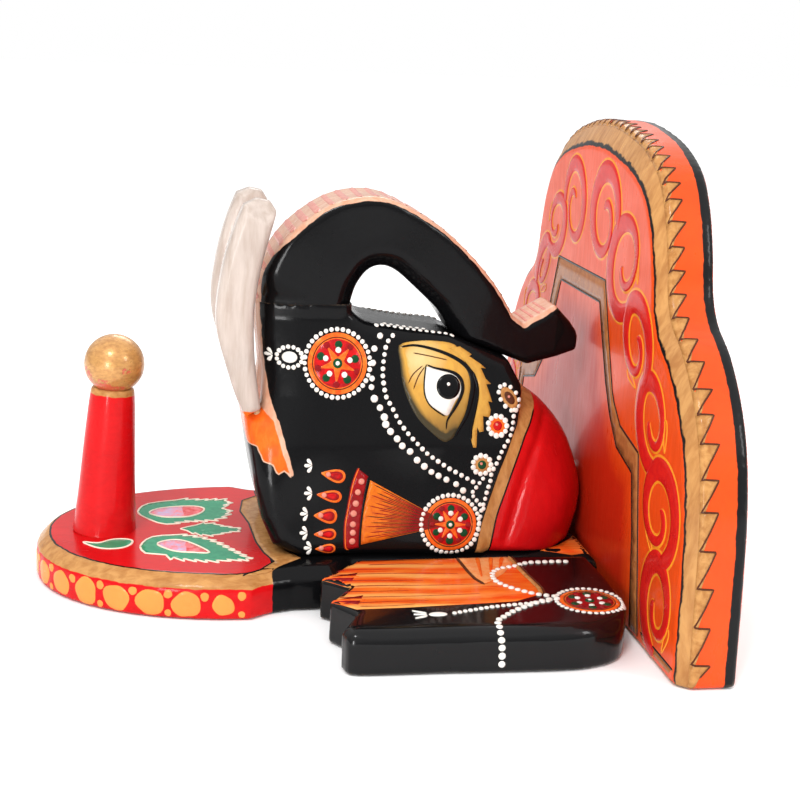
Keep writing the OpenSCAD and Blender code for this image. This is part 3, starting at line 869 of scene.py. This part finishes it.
def medallion(art, u, v, r, pearls, arms=5, start=1.5, disc="red"):
    """Pearls around an orange ring, a red disc with an orange star, and green and white dots."""
    art.dots("white", ring_of(u, v, r, pearls), 1.02)
    art.shape("orange", ring_of(u, v, r * 0.915, 48), 0.12, 0.02, (1, 0.97, 0.86, 0.6, 0.3))
    art.stroke("brown", ring_of(u, v, r * 0.76, 49)[[*range(49), 0]], 0.5, 0.22, 0.1)
    art.shape(disc, ring_of(u, v, r * 0.735, 40), 0.2, 0.02, (1, 0.96, 0.6, 0.3))
    star = [ring_of(u, v, r * (0.66 if i % 2 else 0.2), 1, start + math.pi * i / arms)[0]
            for i in range(2 * arms)]
    if disc == "red":
        art.shape("orange", even(np.vstack([star, star[:1]]), r * 0.09)[:-1], 0.3, 0.05)
    for i in range(arms):
        turn = start + 2 * math.pi * i / arms
        far = ring_of(u, v, r * 0.55, 1, turn)[0]
        near = ring_of(u, v, r * 0.39, 1, turn)[0]
        art.dot("dark_green", *far, r * 0.135, 0.3, 0.25)
        art.dot("white", *near, r * 0.09, 0.4, 0.35)
        art.dot("deep", *ring_of(u, v, r * 0.62, 1, turn + math.pi / arms)[0], r * 0.1, 0.38, 0.15)
    art.dot("dark_green", u, v, r * 0.16, 0.42, 0.25)
    art.dot("white", u, v, r * 0.065, 0.6, 0.3)


def flower(art, u, v, rim_paint, heart, r, tall, turn):
    art.dots("white", turned(ring_of(0, 0, r * 1.5, 11, 0, tall), u, v, turn), r * 0.44)
    art.dot(rim_paint, u, v, r * 1.38, 0.16, 0.1, tall, turn, 24)
    art.dot(heart, u, v, r * 0.8, 0.28, 0.35, tall, turn, 18)
    art.dot("pink", u - r * 0.15, v + r * 0.2, r * 0.24, 0.62, 0.25)


face = Ornament("face", head_mesh, lambda u, v: (u, -90, v), (0, 1, 0))
face.dots("white", PEARLS_OUTER, [1.55 if 4 < i < 15 else 1.3 for i in range(len(PEARLS_OUTER))])
face.dots("white", even(smooth(PEARLS_INNER, 3), 2.9), 1.05)
face.dots("white", even(smooth(PEARLS_BROW, 3), 2.6), 1.0)
face.dots("white", even([(122.5, 51), (117.5, 44.5), (123, 38)], 2.5), 0.9)
medallion(face, *MEDAL_ONE, 13.9, 36)
medallion(face, *MEDAL_TWO, 12.6, 34, 6, 0.5)
for spot, *about in FLOWERS:
    flower(face, *spot, *about)
face.dots("white", ring_of(*MINI_RING, 5.3, 15, 0, 0.8), 0.95)
face.dot("white", *MINI_RING, 3.3, 0.15, 0.5, 0.72, n=20)
sprig(face, *MINI_SPRIG, 0.95)
for spot in SPRIGS:
    sprig(face, *spot)
eye_line = smooth(EYE_MAIN, 3, True)
face.fill("yellow", eye_line, 0.12, 1.5, tone=lambda q: (
    1.2 - np.hypot(q[:, 0] - 95, (q[:, 1] - 100) * 1.2) / 13
    - 3 * np.clip(1 + inside_distance(q[:, 0], q[:, 1], eye_line) / 3.5, 0, 1)
    * np.clip((104 - q[:, 0] + (86 - q[:, 1]) * 0.6) / 8, 0, 1)))
face.fill("yellow", EYE_FEATHER, 0.14, 1.6)
face.fill("white", smooth(EYE_WHITE, 3, True), 0.25)
face.dot("black", *PUPIL, PUPIL_R, 0.34, 0.35, n=32)
face.dot("white", PUPIL[0], PUPIL[1] + 1, 0.85, 0.68, 0.25)
for lid, widths, lift, height in (
        (LID, (0.8, 1.7, 2.4, 0.9), 0.26, 0.18), (OUTER_LID, (1.4,), 0.26, 0.18),
        (INNER_LID, (0.5, 1.7, 1.5, 0.4), 0.42, 0.18), (LOWER_LID, (0.6,), 0.36, 0.1)):
    face.stroke("black", smooth(lid), swell(smooth(lid), *widths), lift, height, ends=(0, 0))
for wrinkle in EYE_WRINKLES:
    face.stroke("brown", smooth(wrinkle), 0.5, 0.22, 0.1, ends=(0, 0))
face.fill("fan", np.vstack([smooth(FAN_EDGE), [FAN_TIP]]), 0.13, 1.8, lambda q: (q[:, 0] - 84) / 20)
for i, start in enumerate(even(smooth(FAN_EDGE), 0.95)[1:-1]):
    begin = start + (np.array(FAN_TIP) - start) * (0.04 + 0.3 * ((i * 7) % 5) / 5)
    face.stroke("deep" if i % 3 else "brown", [begin, start + (np.array(FAN_TIP) - start) * 0.93], 0.45, 0.15,
                0.08, ends=(0, 0), step=2)
face.fill("deep", np.vstack([smooth(ARC_LEFT), smooth(ARC_RIGHT)[::-1]]), 0.14, 1.8)
face.stroke("orange", np.array(smooth(ARC_LEFT)) + [0.7, 0], 0.5, 0.2, 0.1)
face.stroke("black", smooth(ARC_RIGHT), 1.0, 0.24, 0.1)
face.dots("pink", ARC_DOTS, 1.4, lift=0.25)
for (u, v), long, wide, turn in DROPS:
    face.shape("orange", turned(teardrop(long, wide * 1.35), u, v, turn), 0.14, 0.1)
    face.shape("deep", turned(teardrop(long * 0.76, wide * 0.95), u + 0.3, v, turn), 0.24, 0.1)
    face.shape("red", turned(teardrop(long * 0.45, wide * 0.6), u + 0.8, v, turn), 0.34, 0.12)
    face.dot("pink", u - long * 0.2, v + 0.35, 1.2, 0.3)
face.stroke("black", smooth(BROW_IN[2:]), 0.8, 0.15, 0.1)
face.stroke("black", smooth(BROW_OUT[2:]), 0.7, 0.15, 0.1)
face.emit()
crown = Ornament("crown", head_mesh, *FROM_ABOVE)
crown.dots("white", even([(77, -20.4), (80, -19.2), (92, -19.8), (110, -20.4)], 2.7), 1.0)
crown.dots("white", even([(81, -17), (90, -16.6), (98, -16.8)], 2.7), 0.95)
crown.emit()


# The trunk's outer surface: cross bars from its root to its tip.
def along_curve(path, lift):
    """Turns (distance along the path, y) into a point lift millimetres outside a curve drawn in (x, z)."""
    path = np.asarray(path, float)
    at = distances(path)
    run = np.gradient(path, axis=0)
    out = np.stack([-run[:, 1], run[:, 0]], 1) / np.hypot(*run.T)[:, None]

    def spread(u, v):
        x, z, ox, oz = (np.interp(u, at, c) for c in (*path.T, *out.T))
        return x + ox * lift, v, z + oz * lift
    return spread, at[-1]


TRUNK_BARS, BAR_W = 6.6, 3.1
outer_path = np.vstack([[(28.5, SEAM_Z - 22)], TRUNK_OUTER])
for name, path, begin, pitch, root in (("trunk_back", outer_path, 24, TRUNK_BARS, 0.6),
                                       ("trunk_tip", TRUNK_TIP[:2], 2.2, 3.1, 1)):
    spread, length = along_curve(path, 0.4)
    bars = Ornament(name, trunk_mesh, spread, mirror=False)
    for u in np.arange(begin, length - 2, pitch):
        half = np.interp(spread(u, 0)[0], [66, 158, 171], [ROOT_W, 14, 10]) - 3.2
        half *= np.interp(u, [20, 46], [root, 1])
        wide = BAR_W * rng.uniform(0.8, 1.15)
        bars.stroke("pink", [(u + rng.uniform(-0.5, 0.5), -half), (u, 0), (u + rng.uniform(-0.5, 0.5), half)],
                    wide if name == "trunk_back" else 1.3, 0.1, 0.12, step=2)
    bars.emit()

# The round end of the board.
edge_at = distances(BOARD_EDGE)


def on_board_edge(u, v):
    return np.interp(u, edge_at, BOARD_EDGE[:, 0]), -np.interp(u, edge_at, BOARD_EDGE[:, 1]), v


DOT_PITCH, DOT_R, SPOT_R = 15.0, 5.7, 1.9
rim = Ornament("board_rim", board_mesh, on_board_edge)
for i in range(8):
    u = DOT_PITCH * (i + 0.55)
    rim.shape("spot", blob(u, 6.4, DOT_R * (0.8 if i == 7 else rng.uniform(0.96, 1.08))), 0.1, 0.1)
    rim.shape("spot", blob(u + DOT_PITCH / 2, 10.4 + rng.uniform(-0.5, 0.4), SPOT_R, 14), 0.1, 0.1)
    if i % 2:
        rim.shape("spot", blob(u + DOT_PITCH / 2, 2.4, SPOT_R * 0.8, 14), 0.1, 0.1)
rim.emit()

FEATHER_NEAR = [
    (-22.3, -25.5), (-18.9, -15.2), (-15, -12.3), (-9.1, -11.1), (-3.2, -12.9), (3.6, -16.3), (9.3, -22.7),
    (13.8, -30.4), (19.1, -39.4), (21.6, -44.4), (16, -43), (11.1, -44.7), (5.5, -44.3), (-2, -42.5),
    (-7.7, -40.8), (-11.4, -36.9), (-16.1, -35.5), (-19.9, -34.4)]
DROP_NEAR = [
    (-15.1, -22.9), (-11.1, -18.6), (-5.3, -18.3), (0.4, -23.7), (6.8, -35), (0.1, -34.6), (-6.6, -33.1),
    (-11.3, -29.1)]
FEATHER_FAR = [
    (-23.5, 22), (-20.9, 32.3), (-14.6, 36.6), (-4, 39.7), (6.6, 38.2), (17.8, 37.7), (14.6, 27.3),
    (16.9, 20.3), (11.8, 10.4), (1.5, 9.2), (-4.7, 7.8), (-10.8, 3.9), (-14.8, 6.7), (-20.9, 15.2)]
DROP_FAR = [
    (-18.3, 20.1), (-14.7, 26.1), (-6.3, 29.2), (2.1, 29.5), (6.7, 25.9), (4.9, 19.1), (-0.4, 14.3),
    (-6.6, 13.5), (-12.7, 14.5)]
LEAF_MID = [
    (-4.9, -2.8), (1.2, 1.1), (8.4, 4), (13.3, -0.5), (22.1, -5.4), (14.9, -8.2), (8.8, -12), (2.9, -10.1),
    (0, -6.8)]
LEAF_PEG = [
    (-46.4, -18.3), (-40.1, -20.1), (-34.5, -15.9), (-29.6, -15.3), (-25.7, -17.3), (-26.2, -22.4),
    (-29.5, -26.6), (-35.2, -27.8), (-40.9, -25.4)]
GOLD_STRIP = [
    (36, -20), (40, -34), (44.5, -43.8), (37.5, -50.5), (31.5, -56.5), (24, -60.8), (19, -62.4), (26.5, -57),
    (33, -47.5), (29.5, -36), (27.2, -22), (25.8, 4.2), (23, 21.7), (25, 38), (32, 45), (40, 34), (36, 20)]


def outlined(art, outline, fill, line="cream", width=1.0, lift=0.1, tone=None):
    art.fill(fill, outline, lift, tone=tone)
    art.stroke(line, np.vstack([outline, outline[:1]]), width, lift + 0.1, 0.15)


top = Ornament("board_top", board_mesh, *FROM_ABOVE, mirror=False)
for feather, drop in ((FEATHER_NEAR, DROP_NEAR), (FEATHER_FAR, DROP_FAR)):
    outlined(top, serrated(smooth(feather, 4, True), 4.6, 2.9, lambda u, v: u > -10, 0.8), "green")
    outlined(top, smooth(drop, 3, True), "lavender", lift=0.25, tone=lambda q: q[:, 0] + 3)
outlined(top, serrated(smooth(LEAF_MID, 3, True), 4.2, 1.8, lambda u, v: u > 0, 0.7), "green", width=0.8)
top.fill("gold", GOLD_STRIP, 0.12)
top.stroke("black", GOLD_STRIP[6:15], 0.8, 0.16, 0.1)
top.fill("ear", [(150, -39), (160, -33), (168, -24), (174, -12), (174, -40), (164, -41)], 0.1,
         tone=lambda q: (q[:, 0] - 160) / 20)
top.emit()
leaves = Ornament("peg_leaves", board_mesh, *FROM_ABOVE)
outlined(leaves, smooth(LEAF_PEG, 3, True), "green")
leaves.emit()

# The ears: striped orange fans, pearl strings and a medallion.
EAR_ORANGE = [
    (66.5, -46.5), (51.2, -67), (61.5, -76.5), (52, -92), (60.5, -102), (82, -101.5), (108, -99.5),
    (125, -97.5), (137, -90.5), (137.5, -83), (136, -62), (134, -46)]
EAR_CREAM = [(111.5, -46), (134, -46), (134.5, -53), (127.5, -65.5), (120, -74.8), (115.8, -78), (113.2, -62)]
EAR_GOLD = [(134, -46), (135.4, -62.2), (136.8, -75.8), (137.7, -84.2), (137, -91)]
EAR_FOLD = [(111.2, -47), (112.4, -62.1), (113.7, -72), (116.2, -79)]
EAR_PEARLS_A = [
    (157.6, -53.2), (152.7, -52.9), (146.7, -53.4), (140.1, -54), (133.8, -57.8), (127.9, -60), (123.4, -64),
    (121.6, -70), (121.9, -76.1), (125.2, -82.2), (129.3, -86.7), (135, -91), (141.5, -93.5)]
EAR_PEARLS_B = [
    (142, -96), (136.4, -97.6), (131.1, -100.8), (125.8, -104.4), (120.7, -108.4), (116.2, -113.2),
    (113.6, -116)]
EAR_PEARLS_C = [(137.7, -98.4), (128.6, -100.6), (120, -101.9), (112.8, -103.5), (105.5, -106), (97.6, -109)]
EAR_MEDAL = (154.6, -99.1)
EAR_BEND = [
    (-118.5, EAR_T + 0.4), (5 - EAR_W, EAR_T + 0.4), (1.5 - EAR_W, EAR_T - 1.5), (-0.4 - EAR_W, EAR_T - 5),
    (-0.4 - EAR_W, 1.4)]
EAR_STRING_X = 112.6
EAR_LINES = [
    (-52.5, 72, 104), (-58.5, 58, 82), (-64, 54, 108), (-71, 58, 92), (-77.5, 63, 118), (-83, 58, 84),
    (-89, 55, 112), (-95.5, 56, 90), (-99, 62, 84)]
PLEAT = 11.5
ear_top = Ornament("ear_top", ear_mesh, *FROM_ABOVE)
ear_top.fill("ear", EAR_ORANGE, 0.1, 1.8, tone=lambda q: np.clip(
    0.5 + 0.75 * np.cos((q[:, 1] + 55 + 1.5 * np.sin(q[:, 0] / 14)) * 2 * math.pi / PLEAT), 0, 1.3)
    * np.clip((140 - q[:, 0]) / 50, 0.1, 1))
for v, start, end in EAR_LINES:
    middle = (start + end) / 2, v + rng.uniform(-0.8, 0.8)
    line = smooth([(start, v), middle, (end, v + (-88 - v) * 0.05)])
    ear_top.stroke("deep", line, swell(line, 1.0, 0.5, 0.3), 0.13, 0.05, ends=(0, 0))
for tip, base in (((51.2, -67), 15), ((52, -92), 13)):
    ear_top.fill("deep", [tip, (tip[0] + base, tip[1] + 4.5), (tip[0] + base * 0.75, tip[1] - 5)], 0.2)
    ear_top.stroke("orange", [tip, (tip[0] + base, tip[1])], [0.8, 2.6], 0.3, 0.15, ends=(0, 0))
ear_top.fill("pleat", EAR_CREAM, 0.3)
ear_top.stroke("brown", EAR_FOLD, 1.5, 0.36, 0.15, ends=(0, 0))
ear_top.stroke("gold", EAR_GOLD, 1.9, 0.3, 0.3, ends=(0, 0))
ear_top.stroke("brown", np.array(EAR_GOLD) + [1.5, 0], 0.9, 0.3, 0.1, ends=(0, 0))
for start, end in (((120, -47), (117, -70)), ((126, -47), (121, -70)), ((131, -47), (126, -63))):
    ear_top.stroke("orange", [start, end], [2.4, 0.8], 0.36, 0.1, ends=(0, 0))
for string, r in ((EAR_PEARLS_A, 1.25), (EAR_PEARLS_B, 1.35), (EAR_PEARLS_C, 1.0)):
    ear_top.dots("white", even(smooth(string, 3), 2.5 * r), r, lift=0.35)
ear_top.dot("white", 91, -109.6, 3.8, 0.15, 0.5, 0.5)
for v in (-105.6, -109.2, -113):
    start = 86.6, -109.6 + (v + 109.2) * 0.35
    ear_top.stroke("white", [start, (81.5, v)], [1.6, 0.7], 0.15, 0.3, ends=(0, 0))
medallion(ear_top, *EAR_MEDAL, 13.4, 34, 6, 0.4, "deep")
ear_top.emit()
bend_at = distances(EAR_BEND)


def over_ear_edge(u, v):
    return v, np.interp(u, bend_at, np.array(EAR_BEND)[:, 0]), np.interp(u, bend_at, np.array(EAR_BEND)[:, 1])


ear_front = Ornament("ear_front", ear_mesh, over_ear_edge)
for u in np.arange(0.5, bend_at[-1] - 0.5, 3.3):
    ear_front.dot("white", u, EAR_STRING_X + rng.uniform(-0.4, 0.4), rng.uniform(1.35, 1.6), 0.05)
ear_front.emit()

# The shelf: gold teeth around its edge, a framed panel, and scrolls between the two.
shelf_at = distances(SHELF_EDGE)
TOOTH_PITCHES, TOOTH_LOW, TOOTH_HIGH = (6.5, 8.5, 12.0, 14.5), 6.3, 12.0


def on_shelf_edge(u, v):
    y, z = (np.interp(u, shelf_at, SHELF_EDGE[:, i]) for i in (0, 1))
    wide, high = shelf_growth(SHELF_X + v)
    return SHELF_X + v, -y * wide, z * high


teeth = Ornament("shelf_teeth", shelf_mesh, on_shelf_edge)
u, line = 1.5, []
while u < shelf_at[-1] - 3:
    pitch = np.interp(u / shelf_at[-1], [0, 0.3, 0.7, 1], TOOTH_PITCHES) * rng.uniform(0.88, 1.12)
    pitch = min(pitch, shelf_at[-1] - u)
    tip = (u + 0.3, TOOTH_HIGH + rng.uniform(-0.9, 0.6))
    belly = (u + pitch * 0.5, TOOTH_LOW + 2.2)
    teeth.fill("gold", [(u, TOOTH_LOW - 1.8), (u, TOOTH_LOW), tip, belly, (u + pitch, TOOTH_LOW),
                        (u + pitch, TOOTH_LOW - 1.8)], 0.2, 1.4)
    line += [(u - 0.4, TOOTH_LOW - 1.3), (u, TOOTH_LOW), tip, belly]
    u += pitch
teeth.stroke("brown", line, 0.75, 0.24, 0.12, step=0.7)
teeth.emit()

VINE = [
    (-121, 4), (-118, 34), (-112, 62), (-99, 90), (-80, 107), (-65, 127), (-50, 147), (-26, 160), (-2, 163)]
CURL_PITCH, CURL_TURNS, CURL_WIDE = 37.0, 0.85, 1.22
CURL_WIDTHS = (7.0, 9.5, 11.0, 10.0, 7.5, 5.0, 4.2, 5.0, 4.0)
NARROW = 0.8


panel = Ornament("shelf_face", shelf_mesh, lambda u, v: (150, u, v), (1, 0, 0), mirror=False)
panel.fill("frame", np.vstack([frame_out, frame_in[::-1]]), 0.1, 3.5)
panel.stroke("black", frame_out, 1.0, 0.16, 0.12)
panel.stroke("black", frame_in, 0.9, 0.16, 0.12)
for side in (-1, 1):
    foot = np.array([(103, 1), (142, 1), (141.5, 5.8), (104.5, 5.8)]) * [side, 1]
    panel.fill("frame", foot, 0.1, 3)
    panel.stroke("black", foot[2:], 0.9, 0.16, 0.12)


def scrollwork(side):
    """A running scroll: each arc of the waving stem curls on into a spiral. Red, with yellow edges. The frame
    stands off the middle, so the far side's band is narrower, and so are its scrolls."""
    size, shift = (1.0, 0.0) if side < 0 else (NARROW, FRAME_MIDDLE)
    middle = even(smooth(VINE, 6), 1.0) * [-side, 1] + [shift, 0]
    run = np.gradient(middle, axis=0)
    run /= np.hypot(*run.T)[:, None]
    count = round(len(middle) / CURL_PITCH / size)
    pitch = len(middle) / count
    for k in range(count):
        i = min(int((k + 0.5) * pitch), len(middle) - 1)
        ahead, out = run[i], np.array([-run[i][1], run[i][0]]) * (1 if k % 2 else -1)
        turn = np.linspace(math.pi, -CURL_TURNS * 2 * math.pi, 64)
        radius = pitch / 2 * np.clip(1 + turn / (CURL_TURNS * 2 * math.pi) * 0.8, 0, 1)
        room = min(-inside_distance(*np.abs(middle[i])[:, None], SHELF_OUTLINE)[0] - 3,
                   line_distance(*middle[i], frame_out)) - CURL_WIDTHS[2] * size / 2
        across = min(CURL_WIDE, room / (pitch / 2))
        path = (middle[i] + ahead * (radius * np.cos(turn))[:, None]
                + out * (across * radius * np.sin(turn))[:, None])
        wide = swell(path, *CURL_WIDTHS) * size
        panel.stroke("line", path, wide + 2.0, 0.08 + 0.03 * (k % 2), 0.1, step=1.3)
        panel.stroke("scroll", path, wide, 0.26 + 0.05 * (k % 2), 0.12, step=1.3)
        stalk = middle[i] - ahead * (pitch / 2 - 3) - out * 8 * size
        leaf = teardrop(13 * size, 5.5 * size, 16)
        leaf = (stalk + (leaf[:, :1] + 6) * (ahead * 0.86 - out * 0.5)
                + leaf[:, 1:] * (out * 0.86 + ahead * 0.5))
        panel.stroke("line", np.vstack([leaf, leaf[:1]]), 1.0, 0.1, 0.1)


scrollwork(1)
scrollwork(-1)
panel.emit()


# ---- the peg and its ball ----
PEG_X, PEG_LEAN, PEG_L = -37.8, math.radians(3.6), 64
PEG_PROFILE = [
    (13.7, 0), (13.5, 1.5), (12.9, 8), (11.9, 24), (11.0, 40), (10.1, 54), (9.6, 60), (9.3, 62.5),
    (8.9, 63.6), (8.4, PEG_L)]


def lathe(name, profile, material, n, waves):
    """A turned piece on the peg's axis; profile is (radius, height), from bottom to top."""
    rows = np.asarray(profile, float)
    t = np.linspace(0, 2 * math.pi, n, endpoint=False)
    r, h = rows[:, :1], rows[:, 1:] + 0 * t
    r = r * (1 + waves * (np.sin(3 * t + h / 9) + np.cos(2 * t - h / 13)))
    ring = np.stack([r * np.cos(t), r * np.sin(t), h], 2).reshape(-1, 3)
    x = PEG_X + ring[:, 0] * math.cos(PEG_LEAN) + ring[:, 2] * math.sin(PEG_LEAN)
    z = BOARD_T - ring[:, 0] * math.sin(PEG_LEAN) + ring[:, 2] * math.cos(PEG_LEAN)
    faces = [(j * n + i, j * n + (i + 1) % n, (j + 1) * n + (i + 1) % n, (j + 1) * n + i)
             for j in range(len(rows) - 1) for i in range(n)]
    faces += [tuple(range(n))[::-1], tuple(range((len(rows) - 1) * n, len(rows) * n))]
    return new_object(name, np.stack([x, ring[:, 1], z], 1), faces, material,
                      {"along": np.repeat(rows[:, 1], n)})


peg_rows = smooth(PEG_PROFILE, 5)
peg_rows[:, 0] += 0.12 * (np.abs(peg_rows[:, 1] - 10.5) < 0.7) - 0.15 * (np.abs(peg_rows[:, 1] - 7) < 0.6)
peg = lathe("peg_turned", np.vstack([[(13.4, -0.8)], peg_rows]),
            painted("peg_paint", [RED], [("along", 61.6, None, PALE_GOLD, GOLD)], (1, 1, 0.6), wear=0.5), 72,
            0.003)
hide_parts("peg_post")
BALL_R = 12.8
angle = np.radians(np.linspace(-78, 90, 40))
ball_rows = np.stack([np.maximum(BALL_R * np.cos(angle), 0.02),
                      PEG_L + BALL_R - 2.4 + BALL_R * np.sin(angle)], 1)
ball_rows = ball_rows[ball_rows[:, 1] > PEG_L - 0.6]
ball = lathe("ball_turned", np.vstack([[(8.0, PEG_L - 0.6)], ball_rows]),
             gold_with_red_patches("ball_paint"), 64, 0.004)
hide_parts("peg_ball")

# ---- what is inside or behind: dowels, pins, screws and the hanger ----
wood = bare_wood("bare_wood", (0.55, 0.36, 0.19), (0.36, 0.20, 0.09))
metal = steel("screw_steel")
for name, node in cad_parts.items():
    if "dowel" in name or "pin" in name or "screw" in name or "hanger" in name:
        node.data.materials.clear()
        node.data.materials.append(metal if "screw" in name or "hanger" in name else wood)

# ---- floor, light, camera ----
def flat_sheet(name, size, z):
    mesh = bpy.data.meshes.new(name)
    mesh.from_pydata([(-size, -size, z), (size, -size, z), (size, size, z), (-size, size, z)], [],
                     [(0, 1, 2, 3)])
    sheet = bpy.data.objects.new(name, mesh)
    bpy.context.scene.collection.objects.link(sheet)
    return sheet


floor = flat_sheet("floor", 12, -0.0004)
floor_shade = Shade(bpy.data.materials.new("floor_paper"))
floor.data.materials.append(floor_shade.finish(
    floor_shade.mix(floor_shade.noise(60, 2), (0.955, 0.955, 0.955), (0.97, 0.97, 0.97)), 0.9,
    floor_shade.noise(2, 2), 0.0, height_mm=0.02, sheen=0.0))


def area_light(name, place, target, size, watts):
    lamp = bpy.data.lights.new(name, "AREA")
    lamp.shape, lamp.size, lamp.size_y = "RECTANGLE", *size
    lamp.energy = watts
    holder = bpy.data.objects.new(name, lamp)
    holder.location = place
    holder.rotation_euler = (Vector(target) - Vector(place)).to_track_quat("-Z", "Y").to_euler()
    bpy.context.scene.collection.objects.link(holder)


area_light("key", (-0.4, -0.8, 1.1), (0, 0, 0.06), (0.3, 0.2), 6.5)
area_light("left_window", (-0.75, -1.4, 0.24), (0, 0, 0.1), (0.3, 0.42), 9)
area_light("right_window", (0.9, -0.9, 0.7), (0.05, 0, 0.08), (0.2, 0.4), 3)
area_light("rim", (0.2, 1.1, 0.9), (0, 0, 0.08), (0.7, 0.3), 4)

bpy.context.scene.view_settings.view_transform = "Standard"
world = bpy.data.worlds.new("studio")
sky = Shade(world)
direction = sky.add("ShaderNodeTexCoord").outputs["Generated"]
height = sky.add("ShaderNodeSeparateXYZ", {0: direction}).outputs["Z"]
seen = sky.add("ShaderNodeLightPath").outputs["Is Camera Ray"]
strength = sky.add("ShaderNodeMix", {"Factor": seen, "A": sky.span(height, 0.05, 0.7, 0.55, 1.35), "B": 1.0})
glow = sky.add("ShaderNodeBackground", {"Color": (1, 1, 1), "Strength": strength.outputs["Result"]})
sky.add("ShaderNodeOutputWorld", {"Surface": glow.outputs[0]})
bpy.context.scene.world = world

camera_data = bpy.data.cameras.new("camera")
camera_data.sensor_width = 36
camera_data.lens = 66.735
camera = bpy.data.objects.new("camera", camera_data)
turn, tilt, roll = (math.radians(a) for a in (-10.0, 13.4, 2.3))
camera.matrix_world = (Matrix.Translation((-0.08555, -0.6345, 0.2295)) @ Matrix.Rotation(turn, 4, "Z")
                       @ Matrix.Rotation(math.pi / 2 - tilt, 4, "X") @ Matrix.Rotation(roll, 4, "Z"))
bpy.context.scene.collection.objects.link(camera)
bpy.context.scene.camera = camera
